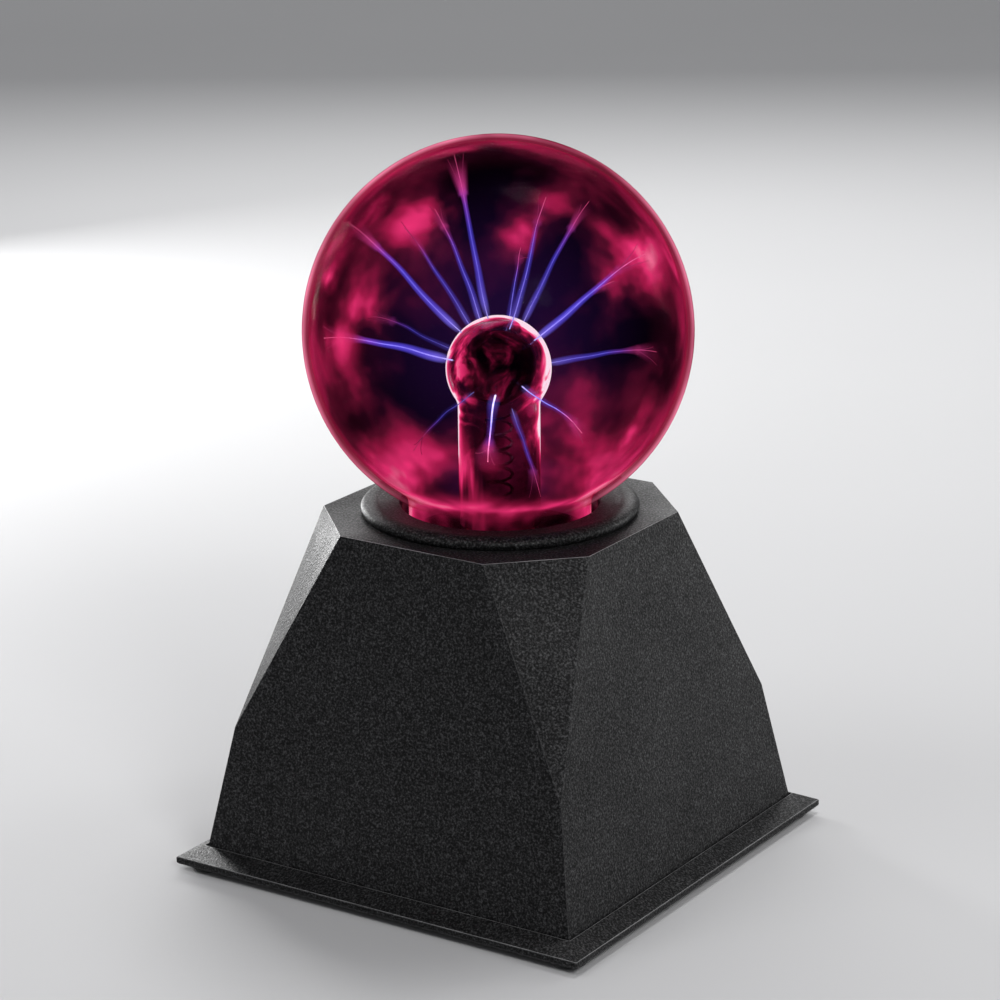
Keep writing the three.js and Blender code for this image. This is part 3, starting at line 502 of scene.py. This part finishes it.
STREAM_STOPS = [                                # colour of a streamer from the bulb to the glass
    (0.00, (0.34, 0.26, 1.0)),
    (0.10, (0.22, 0.16, 0.98)),
    (0.24, (0.13, 0.09, 0.90)),
    (0.52, (0.10, 0.07, 0.85)),
    (0.66, (0.28, 0.06, 0.72)),
    (0.78, (0.78, 0.06, 0.34)),
    (1.00, (0.78, 0.035, 0.16)),
]


def gas_brightness(n, floor, limb, wisp, landed, pool):
    """How bright the gas on the glass is: haze that grows to the limb, smoke, landings, a pool below."""
    brightest = 0.86
    haze = n.plus(floor, n.times(n.power(n.grazing(), 2.4), limb))
    smoke = n.noise(28, 3.0, 0.5, distortion=0.2)
    patches = n.noise(15, 2.0, 0.5)
    wisps = n.times(n.spread(smoke, 0.40, 0.68, -0.8, 1.0), wisp)
    spots = n.times(n.attribute("glow"), n.spread(smoke, 0.36, 0.60, 0.2, landed),
                    n.spread(patches, 0.38, 0.56, 0.6, 1.0))
    height = n.height()
    low = n.times(n.spread(height, TOP_Z + 6 * MM, TOP_Z + 26 * MM, pool, 0.0),
                  n.spread(height, TOP_Z + 3 * MM, TOP_Z + 12 * MM, 0.55, 1.0))
    return n.maths("MINIMUM", n.plus(haze, wisps, spots, low), brightest)


def one_sided(n, front):
    """Shows a shader on the front of a surface only. From behind the surface is clear."""
    n.material.use_backface_culling = True
    return n.finish(n.blend(n.add("NewGeometry", "Backfacing"), front, n.clear()))


def far_gas(name):
    """Far half of the glow, seen from within: an opaque dark ground, painted shade that hides all behind
    the globe, with a violet middle and crimson clouds.
    """
    n = Nodes(name)
    violet = (0.012, 0.003, 0.028)
    colour = n.ramp(gas_brightness(n, 0.02, 0.60, 0.15, 0.72, 0.24), CLOUD_STOPS)
    colour = n.mix(n.power(n.facing(), 5.0), colour, violet, blend="ADD")
    # Painted shade: the opaque dark ground stands in for darkness behind the clear globe.
    return one_sided(n, n.principled(Base_Color=DARK, Roughness=0.6, Specular_IOR_Level=0.0,
                                     Emission_Color=colour, Emission_Strength=1.0))


def near_gas(name):
    """Near half of the glow: mostly clear, with clouds that stand in front of the streamers."""
    n = Nodes(name)
    total = gas_brightness(n, -0.18, 0.72, 0.15, 0.68, 0.52)
    return one_sided(n, n.veil(n.spread(total, 0.12, 0.72, 0.0, 0.92), n.ramp(total, CLOUD_STOPS)))


def streamer_core(name):
    """Thin bright thread of a streamer, pale by the bulb, blue along it, pink at the glass."""
    n = Nodes(name)
    along = n.attribute("along")
    heat = n.attribute("power")
    pale = n.times(n.spread(along, 0.0, 0.8, 0.30, 0.08), heat)
    colour = n.mix(pale, n.ramp(along, STREAM_STOPS), (0.85, 0.75, 1.0))
    flicker = n.spread(n.noise(260, 3.0), 0.3, 0.7, 0.75, 1.25)
    return n.finish(n.principled(Base_Color=(0.0, 0.0, 0.0), Roughness=1.0, Specular_IOR_Level=0.0,
                                 Emission_Color=colour, Emission_Strength=n.times(heat, flicker, 0.9)))


def streamer_halo(name):
    """Soft light round a streamer, gone at its edge, that turns into smoke where it lands."""
    n = Nodes(name)
    along = n.attribute("along")
    soft = n.power(n.facing(), 3.0)
    smoke = n.spread(n.noise(60, 3.0, 0.55), 0.35, 0.65, 0.1, 1.3)
    flare = n.spread(along, 0.62, 0.80)
    ragged = n.plus(n.rest_of(flare), n.times(flare, smoke))
    ending = n.times(n.spread(along, 0.72, 0.97, 1.0, 0.0), n.spread(along, 0.0, 0.10))
    body = n.times(soft, ragged, n.attribute("power"), ending, 0.42)
    return n.finish(n.veil(body, n.ramp(along, STREAM_STOPS)))


def electrode_glow(name):
    """Glow that hugs the electrode: a pink-white rim round the bulb, red streaks down its tube, and a dark
    veil of painted shade over both, thicker on the tube.
    """
    n = Nodes(name)
    grazing = n.grazing()
    height = n.height()
    on_bulb = n.spread(height, BULB_CENTRE.z - 1.9 * BULB_R, BULB_CENTRE.z - 0.8 * BULB_R)

    rim = n.times(n.power(grazing, 3.2), 1.9)
    swirl = n.spread(n.noise(52, 3.0, 0.55, distortion=0.9), 0.44, 0.62)
    middle = n.times(swirl, n.spread(grazing, 0.02, 0.34, 0.30, 0.70))
    bulb_part = n.times(n.plus(rim, middle), on_bulb)

    fade = n.spread(height, BULB_CENTRE.z - 2.4 * BULB_R, BULB_CENTRE.z - 1.1 * BULB_R, 0.15, 1.0)
    uneven = n.spread(n.noise(90, 3.0), 0.38, 0.62, 0.35, 1.0)
    sides = n.times(n.power(grazing, 2.6), 0.50, fade, uneven)
    streaks = n.spread(n.noise(70, 3.0, 0.55, n.stretched((1, 1, 0.16))), 0.45, 0.62, 0.0, 0.66)
    tube_part = n.times(n.plus(sides, streaks), n.rest_of(on_bulb))

    total = n.plus(bulb_part, tube_part)
    # Painted shade: the veil is never thinner than this, a dark sheet over the bulb and more so over the
    # tube.
    least_painted_shade = n.spread(on_bulb, 0.0, 1.0, 0.72, 0.45)
    thickness = n.maths("MAXIMUM", n.spread(total, 0.0, 0.6), least_painted_shade)
    return n.finish(n.veil(thickness, n.ramp(total, CLOUD_STOPS)))


def dark_bulb(name):
    """Conductive filling of the bulb: near black, with red glints painted on as light, for reflections of
    the glowing clouds.
    """
    n = Nodes(name)
    # Painted reflections: red patches of emission stand in for the clouds mirrored in the bulb.
    painted_glints = n.spread(n.noise(60, 4.0, 0.6, distortion=1.8), 0.46, 0.72)
    colour = n.ramp(n.times(painted_glints, 0.60), CLOUD_STOPS)
    lumps = n.bump(n.noise(900, 3.0), 0.2 * MM)
    return n.finish(n.principled(Base_Color=DARK, Roughness=0.35, Specular_IOR_Level=0.3, Normal=lumps,
                                 Emission_Color=colour, Emission_Strength=0.8))


# ---- Outside pieces -----------------------------------------------------------------------------


def add_base():
    long_edge = 15 * MM
    plastic = grained_plastic("housing_plastic", (0.0055, 0.0055, 0.0062))
    mesh = refined("base_housing", 0.9 * MM, 3, shortest=long_edge, crease=12)
    weight_normals(new_object("base_housing_shell", mesh, plastic,
                              replaced=["base_housing"]))
    # The plate's plastic is a lighter copy of the housing's, painted lighter for the light that its sloping
    # lip catches.
    lip = grained_plastic("plate_plastic", (0.0065, 0.0065, 0.007), 0.50, wear_and_highlight=0.5, shine=0.22)
    mesh = refined("base_plate", 0.35 * MM, 2, shortest=long_edge, crease=12)
    weight_normals(new_object("base_plate_tray", mesh, lip, replaced=["base_plate"]))


def add_feet():
    """Each foot is a round pad with a rounded lower edge."""
    black = rubber("foot_rubber", (0.012, 0.012, 0.012))
    edge = 2.4 * MM
    for node in sorted(name for name in NODES if name.startswith("foot_")):
        low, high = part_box(node)
        middle = (low + high) / 2
        radius = (high.x - low.x) / 2
        rounding = arc(radius - edge, low.z + edge, edge, 0, -90, 8)
        mesh = turned(node, [(0, high.z), (radius, high.z), *rounding, (0, low.z)], 64)
        mesh.transform(Matrix.Translation((middle.x, middle.y, 0)))
        new_object(node + "_pad", mesh, black, replaced=[node])


def add_collar():
    """A bead round the neck, a soft inner lip by the glass, and a skirt that goes down into the base."""
    satin = grained_plastic("collar_plastic", (0.005, 0.005, 0.0055), 0.52, 0.9 * MM, 0.08 * MM, wear_and_highlight=0.2)
    low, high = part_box("collar_ring")
    skirt_inner = SKIRT_R - SKIRT_WALL
    ledge = TOP_Z + 1.3 * MM
    seat = TOP_Z + GAP
    bead, bead_height = 4.4 * MM, 2.8 * MM
    profile = [
        (skirt_inner, ledge), (NECK_R + 1 * MM, ledge),
        *arc(NECK_R + 1.25 * MM, TOP_Z + 2.95 * MM, 0.5 * MM, 190, 100, 5),
        *arc(COLLAR_R - bead, high.z - bead_height, bead, 130, -35, 22, bead_height),
        (COLLAR_R - 2 * MM, seat), (SKIRT_R, seat),
        (SKIRT_R, low.z), (skirt_inner, low.z),
    ]
    mesh = turned("collar_ring_bead", profile, 160, loop=True)
    new_object("collar_ring_bead", mesh, satin, replaced=["collar_ring"])


def ball_on_stem(centre_z, ball_r, stem_r, fillet, inset, steps, fillet_steps):
    """Profile of a ball from its crown to where a round fillet meets the stem below, drawn in by inset."""
    fillet_r = stem_r + fillet
    reach = ball_r + fillet
    fillet_z = centre_z - math.sqrt(reach ** 2 - fillet_r ** 2)
    meet = math.degrees(math.acos(fillet_r / reach))
    return [
        (0, centre_z + ball_r - inset),
        *arc(0, centre_z, ball_r - inset, 90, -meet, steps)[1:],
        *arc(fillet_r, fillet_z, fillet + inset, 180 - meet, 180, fillet_steps)[1:],
    ]


def globe_ball(inset, steps):
    """One skin of the globe, drawn in by inset, down to the start of its neck."""
    return ball_on_stem(GLOBE_CENTRE.z, GLOBE_R, NECK_R, NECK_FILLET, inset, steps, 8)


def globe_skin(inset):
    """One skin of the globe from its crown to the bottom of its neck, drawn in by inset."""
    foot = arc(NECK_R - NECK_FOOT, NECK_BOTTOM + NECK_FOOT, NECK_FOOT - inset, 0, -90, 6)
    return [*globe_ball(inset, 64), *foot]


def add_globe():
    outer, inner = globe_skin(0), globe_skin(GLOBE_WALL)
    hole = [(SEAL_R, NECK_BOTTOM), (SEAL_R, NECK_BOTTOM + GLOBE_WALL)]
    mesh = turned("glass_globe_shell", [*outer, *hole, *reversed(inner)], 128, sharp_angle=60)
    new_object("glass_globe_shell", mesh, globe_glass("globe_glass"),
               replaced=["glass_globe"])


def electrode_ball(inset):
    """One skin of the electrode, drawn in by inset, down to the start of its tube."""
    return ball_on_stem(BULB_CENTRE.z, BULB_R, TUBE_R, TUBE_FILLET, inset, 32, 10)


def electrode_skin(inset):
    """One skin of the electrode from the bulb's crown to the flared open end of its tube."""
    flare = SEAL_R - GAP - TUBE_R
    flared = arc(TUBE_R + flare, NECK_BOTTOM + TUBE_FLARE, flare + inset, 180, 250, 8, TUBE_FLARE)
    return [*electrode_ball(inset), *flared, (SEAL_R - GAP - inset, NECK_BOTTOM)]


def add_electrode():
    profile = [*electrode_skin(0), *reversed(electrode_skin(TUBE_WALL))]
    mesh = turned("electrode_tube_glass", profile, 96, sharp_angle=60)
    new_object("electrode_tube_glass", mesh, electrode_glass("electrode_glass"),
               replaced=["electrode_tube"])


# ---- Discharge ------------------------------------------------------------------------------------

# Where the main streamers land, seen from the front: across and up in globe radii, on the near (1)
# or far (-1) half, and how bright each one is.
LANDINGS = [
    (-0.78, 0.56, 1, 1.0), (-0.51, 0.60, -1, 0.6), (-0.34, 0.70, -1, 0.8), (-0.22, 0.90, 1, 0.8),
    (0.13, 0.50, -1, 0.8), (0.25, 0.64, 1, 0.9), (0.50, 0.72, -1, 0.7), (0.64, 0.30, -1, 0.8),
    (0.76, 0.36, 1, 1.2), (0.86, -0.10, -1, 0.7), (-0.90, -0.05, 1, 1.5), (-0.70, 0.12, -1, 0.4),
    (-0.44, -0.64, 1, 0.4), (0.42, -0.56, 1, 1.3), (-0.06, -0.70, 1, 2.2), (0.21, -0.88, 1, 0.5),
]

# Clouds of light on the glass in the same terms, with their radius in globe radii before the power.
CLOUDS = [
    (-0.72, 0.00, -1, 0.27, 1.4), (-0.86, 0.26, 1, 0.20, 0.9), (-0.40, 0.72, -1, 0.18, 0.6),
    (0.12, 0.60, -1, 0.12, 0.6), (0.30, 0.70, -1, 0.13, 0.8), (0.74, 0.46, -1, 0.24, 1.2),
    (0.90, 0.24, 1, 0.22, 0.8), (0.66, -0.58, 1, 0.24, 1.0), (-0.66, -0.62, 1, 0.22, 1.0),
    (-0.80, -0.06, 1, 0.20, 1.0), (-0.58, -0.22, -1, 0.16, 0.35), (0.50, -0.28, -1, 0.16, 0.35),
    (-0.60, 0.62, 1, 0.16, 0.8),
]

EXTRA_PLACES = 38                               # even places tried for more streamers
EXTRA_SPACING = 0.72 * GLOBE_R                  # least distance of one from all others
LOWEST_EXTRA = -0.72                            # none lands below this share of the radius, by the neck
SEED = 7                                        # of the random draws and of the wobble's noise


def landing_point(across, up, side):
    depth = side * math.sqrt(max(0.0, 1 - across ** 2 - up ** 2))
    return GLOBE_CENTRE + GAS_R * (VIEW_RIGHT * across + VIEW_UP * up + VIEW_BACK * depth)


def all_landings(rng):
    """The main landing points, then more all round wherever a wide enough space is left."""
    points = [(landing_point(across, up, side), heat) for across, up, side, heat in LANDINGS]
    golden = math.pi * (3 - math.sqrt(5))
    for i in range(EXTRA_PLACES):
        z = 1 - 2 * (i + 0.5) / EXTRA_PLACES
        angle = golden * i + rng.uniform(-0.2, 0.2)
        ring = math.sqrt(1 - z * z)
        direction = Vector((ring * math.cos(angle), ring * math.sin(angle), z))
        point = GLOBE_CENTRE + GAS_R * direction
        nearest = min((point - other).length for other, _ in points)
        heat = rng.uniform(0.45, 0.85)
        if z > LOWEST_EXTRA and nearest > EXTRA_SPACING:
            points.append((point, heat))
    return points


def bezier(a, b, c, d, t):
    s = 1 - t
    return a * s ** 3 + b * (3 * s * s * t) + c * (3 * s * t * t) + d * t ** 3


def streamer_path(end, rng, steps=36):
    """A gently bowed path from the bulb to a landing point on the glass."""
    wobble_size = 0.7 * MM
    start_direction = (end - BULB_CENTRE).normalized()
    start = BULB_CENTRE + start_direction * BULB_R
    reach = (end - start).length
    outward = (end - GLOBE_CENTRE).normalized()
    lift = Vector((0, 0, 1)) * reach * 0.05
    sway = Vector([rng.uniform(-1, 1) for _ in range(3)]) * reach * 0.03
    b = start + start_direction * reach * 0.36 + sway
    c = end - (outward + start_direction) * reach * 0.16 + lift
    seed = rng.uniform(0, 100)
    path = []
    for i in range(steps + 1):
        t = i / steps
        wobble = noise.noise_vector(Vector((seed, t * 4.0, 0))) * wobble_size * math.sin(math.pi * t)
        path.append((bezier(start, b, c, end, t) + wobble, t))
    return path


def tube_along(bm, layers, path, radius, heat, sides=8):
    """A closed tube around a path of (point, share along), with its radius a function of that share."""
    along_layer, heat_layer = layers
    rings = []
    up = Vector((0.3, 0.1, 1)).normalized()
    for i, (point, share) in enumerate(path):
        before = path[max(i - 1, 0)][0]
        after = path[min(i + 1, len(path) - 1)][0]
        forward = (after - before).normalized()
        side = forward.cross(up).normalized()
        other = forward.cross(side)
        ring = []
        for k in range(sides):
            angle = 2 * math.pi * k / sides
            offset = (side * math.cos(angle) + other * math.sin(angle)) * radius(share)
            vert = bm.verts.new(point + offset)
            vert[along_layer] = share
            vert[heat_layer] = heat
            ring.append(vert)
        rings.append(ring)
    for lower, upper in zip(rings, rings[1:]):
        for k in range(sides):
            m = (k + 1) % sides
            bm.faces.new((lower[k], lower[m], upper[m], upper[k]))
    bm.faces.new(reversed(rings[0]))
    bm.faces.new(rings[-1])


def branches(path, end, rng):
    """Short threads that fan out over the glass where a streamer lands."""
    steps = 10
    bow = 1.2 * MM
    off_glass = 0.3 * MM
    start, start_share = path[int(len(path) * rng.uniform(0.70, 0.84))]
    outward = (end - GLOBE_CENTRE).normalized()
    across = outward.orthogonal().normalized()
    count = rng.choice((1, 2, 2))
    threads = []
    for i in range(count):
        angle = 2 * math.pi * (i + rng.random() * 0.6) / count
        sideways = across * math.cos(angle) + outward.cross(across) * math.sin(angle)
        reach = rng.uniform(2, 6) * MM
        to_tip = (end + sideways * reach - GLOBE_CENTRE).normalized()
        tip = GLOBE_CENTRE + to_tip * (GAS_R - off_glass)
        thread = []
        for k in range(steps + 1):
            t = k / steps
            point = start.lerp(tip, t) + outward * math.sin(math.pi * t) * bow
            thread.append((point, start_share + (1 - start_share) * t))
        threads.append(thread)
    return threads


def core_radius(share):
    """Thins along the streamer."""
    return (0.22 - 0.10 * share) * MM


def halo_radius(share):
    """A drop near the bulb, slim along the streamer, and flaring where it lands."""
    drop = share / 0.14
    flare = max(0.0, (share - 0.66) / 0.34)
    return (1.1 + 0.9 * drop * math.exp(1 - drop) + 4.5 * flare ** 1.5) * MM


def add_streamers(landings, rng):
    branch_core, branch_halo = 0.09 * MM, 2.2 * MM
    cores, halos = bmesh.new(), bmesh.new()
    core_layers = [cores.verts.layers.float.new(name) for name in ("along", "power")]
    halo_layers = [halos.verts.layers.float.new(name) for name in ("along", "power")]
    for end, heat in landings:
        path = streamer_path(end, rng)
        tube_along(cores, core_layers, path, lambda t: core_radius(t) * (0.55 + 0.5 * heat), heat)
        tube_along(halos, halo_layers, path, lambda t: halo_radius(t) * (0.7 + 0.3 * heat), heat, 14)
        for thread in branches(path, end, rng):
            tube_along(cores, core_layers, thread, lambda t: branch_core, 0.35 * heat, 6)
            tube_along(halos, halo_layers, thread, lambda t: branch_halo, 0.5 * heat, 10)
    new_object("streamer_threads", to_mesh(cores, "streamer_threads"), streamer_core("streamer_core"))
    new_object("streamer_halos", to_mesh(halos, "streamer_halos"), streamer_halo("streamer_halo"))


def spot(distance, radius):
    """A soft spot: 1 in its middle, fading to nothing well past its radius."""
    return math.exp(-(distance / radius) ** 2)


def glow_at(direction, landings):
    """How brightly the glass glows in a direction: a sum of soft spots, clouds and a low pool."""
    total = 0.0
    for end, heat in landings:
        cosine = direction.dot((end - GLOBE_CENTRE).normalized())
        angle = math.acos(max(-1.0, min(1.0, cosine)))
        total += min(heat, 0.8) * (0.55 * spot(angle, 0.13) + 0.20 * spot(angle, 0.30))
    for across, up, side, radius, power in CLOUDS:
        middle = (landing_point(across, up, side) - GLOBE_CENTRE) / GAS_R
        total += power * spot((direction - middle).length, radius)
    low = max(0.0, -direction.z - 0.35)
    return min(1.4, total + 0.9 * low)


def gas_shell(name, clearance, landings, inward):
    """A skin just inside the glass, open at the neck, whose points carry the brightness of the glow."""
    inset = GLOBE_WALL + clearance
    profile = [*globe_ball(inset, 72), (NECK_R - inset, NECK_BOTTOM + NECK_FOOT)]
    mesh = turned(name, profile, 144, sharp_angle=None)
    attribute = mesh.attributes.new("glow", "FLOAT", "POINT")
    for vertex in mesh.vertices:
        direction = (vertex.co - GLOBE_CENTRE).normalized()
        attribute.data[vertex.index].value = glow_at(direction, landings)
    crown = mesh.polygons[0]
    faces_out = crown.normal.z > 0
    if faces_out == inward:
        mesh.flip_normals()
    return mesh


def add_discharge():
    rng = random.Random(SEED)
    noise.seed_set(SEED)                        # its vectors would otherwise follow the clock
    landings = all_landings(rng)
    add_streamers(landings, rng)
    far = gas_shell("gas_far_glow", 0.2 * MM, landings, inward=True)
    new_object("gas_far_glow", far, far_gas("far_gas"))
    near = gas_shell("gas_near_glow", 0.6 * MM, landings, inward=False)
    new_object("gas_near_glow", near, near_gas("near_gas"))
    outside = 0.35 * MM
    skin = [point for point in electrode_skin(-outside) if point[1] > TOP_Z]
    skin.append((TUBE_R + outside, NECK_BOTTOM + 9 * MM))
    glow = turned("electrode_glow", skin, 96, sharp_angle=None)
    new_object("electrode_glow", glow, electrode_glow("electrode_glow"))


# ---- Inner and small pieces -------------------------------------------------------------------------


def slot_materials():
    """The finish of every material slot that the small parts use."""
    return {
        "screw_steel": metal("screw_steel", (0.56, 0.57, 0.59), 0.3),
        "switch_tin": metal("switch_tin", (0.62, 0.63, 0.64), 0.25),
        "spring_steel": metal("spring_steel", (0.45, 0.45, 0.47), 0.3),
        "nut_chrome": metal("nut_chrome", (0.70, 0.70, 0.70), 0.15),
        "microphone_can": metal("microphone_can", (0.66, 0.67, 0.68), 0.22),
        "heat_sink_aluminium": metal("heat_sink_aluminium", (0.62, 0.63, 0.65), 0.35, (1, 12, 1)),
        "winding_copper": metal("winding_copper", (0.72, 0.30, 0.14), 0.3, (1, 1, 60), 0.02 * MM),
        "contact_brass": metal("contact_brass", (0.72, 0.52, 0.22), 0.25),
        "electrode_wool": dark_bulb("electrode_wool"),
        "seal_foam": rubber("seal_foam", (0.02, 0.02, 0.022), 0.9),
        "plug_rubber": rubber("plug_rubber", (0.28, 0.035, 0.025), 0.65),
        "foot_rubber": rubber("boot_rubber", (0.012, 0.012, 0.012)),
        "housing_plastic": grained_plastic("cup_plastic", (0.018, 0.018, 0.0195)),
        "knob_plastic": grained_plastic("knob_plastic", (0.010, 0.010, 0.011), 0.4, 0.3 * MM, 0.02 * MM),
        "jack_plastic": glossy_coat("moulded_black", (0.012, 0.012, 0.013), 0.38),
        "chip_plastic": glossy_coat("chip_plastic", (0.016, 0.016, 0.018), 0.5),
        "terminal_board": glossy_coat("terminal_board", (0.16, 0.075, 0.03), 0.5),
        "ferrite": grained_plastic("ferrite", (0.035, 0.035, 0.04), 0.6, grain=0.4 * MM),
        "winding_resin": glossy_coat("winding_resin", (0.014, 0.014, 0.016), 0.2),
        "capacitor_sleeve": glossy_coat("capacitor_sleeve", (0.012, 0.02, 0.09), 0.25),
        "film_resin": glossy_coat("film_resin", (0.38, 0.12, 0.03), 0.22),
        "resistor_coat": glossy_coat("resistor_coat", (0.55, 0.40, 0.22), 0.35),
        "board_laminate": board_laminate("board_laminate"),
        "wire_red": glossy_coat("wire_red", (0.42, 0.012, 0.012), 0.35),
        "wire_black": glossy_coat("wire_black", (0.010, 0.010, 0.010), 0.35),
        "wire_yellow": glossy_coat("wire_yellow", (0.66, 0.45, 0.03), 0.35),
        "wire_white": glossy_coat("wire_white", (0.70, 0.70, 0.67), 0.35),
        "high_voltage_insulation": glossy_coat("high_voltage_insulation", (0.46, 0.02, 0.02), 0.4),
    }


def add_small_parts():
    """Rounds the edges of every remaining CAD node and gives it the finish of its slot."""
    looks = slot_materials()
    bodies = frame["record"]["behaviour"]["bodies"]
    body_of_node = {node: body for body, members in bodies.items() for node in members}
    for entry in frame["record"]["subparts"]:
        node, slot = entry["node"], entry["material_slot"]
        if NODES[node].hide_render:
            continue
        mesh = refined(node, 0.12 * MM, 2, shortest=0.25 * MM, crease=30, sharp_angle=42)
        weight_normals(new_object(node + "_part", mesh, looks[slot], body_of_node[node], [node]))


# ---- Stage --------------------------------------------------------------------------------------------


def studio_paper():
    """Pale paper with a faint unevenness."""
    n = Nodes("studio_paper")
    tone = n.spread(n.noise(1.2, 3.0), 0.3, 0.7, 0.52, 0.55)
    colour = n.add("CombineColor", 0, {0: tone, 1: tone, 2: n.times(tone, 1.01)})
    return n.finish(n.principled(Base_Color=colour, Roughness=0.75, Specular_IOR_Level=0.2))


def add_stage():
    """A floor that bends up into a backdrop behind the object."""
    half_width, back, front, bend, top = 6.0, 4.5, -4.0, 2.5, 3.0
    bend_steps = 12
    outline = [(front, 0.0), (back - bend, 0.0)]
    for i in range(1, bend_steps + 1):
        angle = math.pi / 2 * i / bend_steps
        outline.append((back - bend + bend * math.sin(angle), bend - bend * math.cos(angle)))
    outline.append((back, top))
    bm = bmesh.new()
    rows = []
    for distance, height in outline:
        rows.append([bm.verts.new((side * half_width, distance, TABLE_Z + height)) for side in (-1, 1)])
    for a, b in zip(rows, rows[1:]):
        bm.faces.new((a[0], a[1], b[1], b[0]))
    mesh = to_mesh(bm, "studio_floor")
    mesh.materials.append(studio_paper())
    floor = bpy.data.objects.new("studio_floor", mesh)
    floor.rotation_euler.z = VIEW_AZIMUTH
    bpy.context.scene.collection.objects.link(floor)


def add_light(name, azimuth, elevation, distance, size, power, straight_down=False):
    """A soft box facing the object or the floor. Its angles in degrees start at the camera's azimuth."""
    light = bpy.data.lights.new(name, "AREA")
    light.shape = "RECTANGLE"
    light.size, light.size_y = size
    light.energy = power
    turn = VIEW_AZIMUTH + math.radians(azimuth)
    direction = direction_at(turn, math.radians(elevation))
    lamp = bpy.data.objects.new(name, light)
    lamp.visible_camera = False
    lamp.location = LIGHT_AIM + direction * distance
    if straight_down:
        lamp.rotation_euler.z = turn
    else:
        lamp.rotation_euler = direction.to_track_quat("Z", "Y").to_euler()
    bpy.context.scene.collection.objects.link(lamp)


def add_lights():
    add_light("key_softbox", -68, 52, 1.6, (0.7, 0.7), 4.4)
    add_light("fill_softbox", 25, 36, 1.7, (0.5, 0.5), 9.5)
    add_light("right_softbox", 116, 12, 1.4, (0.4, 0.7), 5.2)
    add_light("back_softbox", 180, 24, 1.5, (1.2, 0.4), 9)
    add_light("top_softbox", 141, 75, 1.2, (0.3, 0.3), 6)
    add_light("rim_softbox", -148, 4, 1.1, (0.2, 0.4), 8)
    add_light("floor_softbox", 180, 30, 3.4, (4.0, 2.0), 12, straight_down=True)
    world = bpy.data.worlds.new("studio")
    world.use_nodes = True
    background = world.node_tree.nodes["Background"]
    background.inputs["Color"].default_value = (0.95, 0.96, 1.0, 1)
    background.inputs["Strength"].default_value = 0.26
    bpy.context.scene.world = world


def add_camera():
    low, high = cad_bounds
    target = Vector([(a + b) / 2 for a, b in zip(low, high)])
    camera_data = bpy.data.cameras.new("camera")
    camera_data.sensor_width = 36
    camera_data.lens = 125
    camera_data.clip_start = 0.05
    camera = bpy.data.objects.new("camera", camera_data)
    camera.location = target + VIEW_BACK * VIEW_DISTANCE
    upright = VIEW_BACK.to_track_quat("Z", "Y")
    camera.rotation_euler = (upright @ Quaternion((0, 0, 1), VIEW_ROLL)).to_euler()
    bpy.context.scene.collection.objects.link(camera)
    bpy.context.scene.camera = camera


add_base()
add_feet()
add_collar()
add_globe()
add_electrode()
add_discharge()
add_small_parts()
add_stage()
add_lights()
add_camera()
bpy.context.scene.view_settings.view_transform = "Standard"
bpy.context.scene.cycles.transparent_max_bounces = 48    # the discharge is many clear layers deep

bpy.context.view_layer.update()
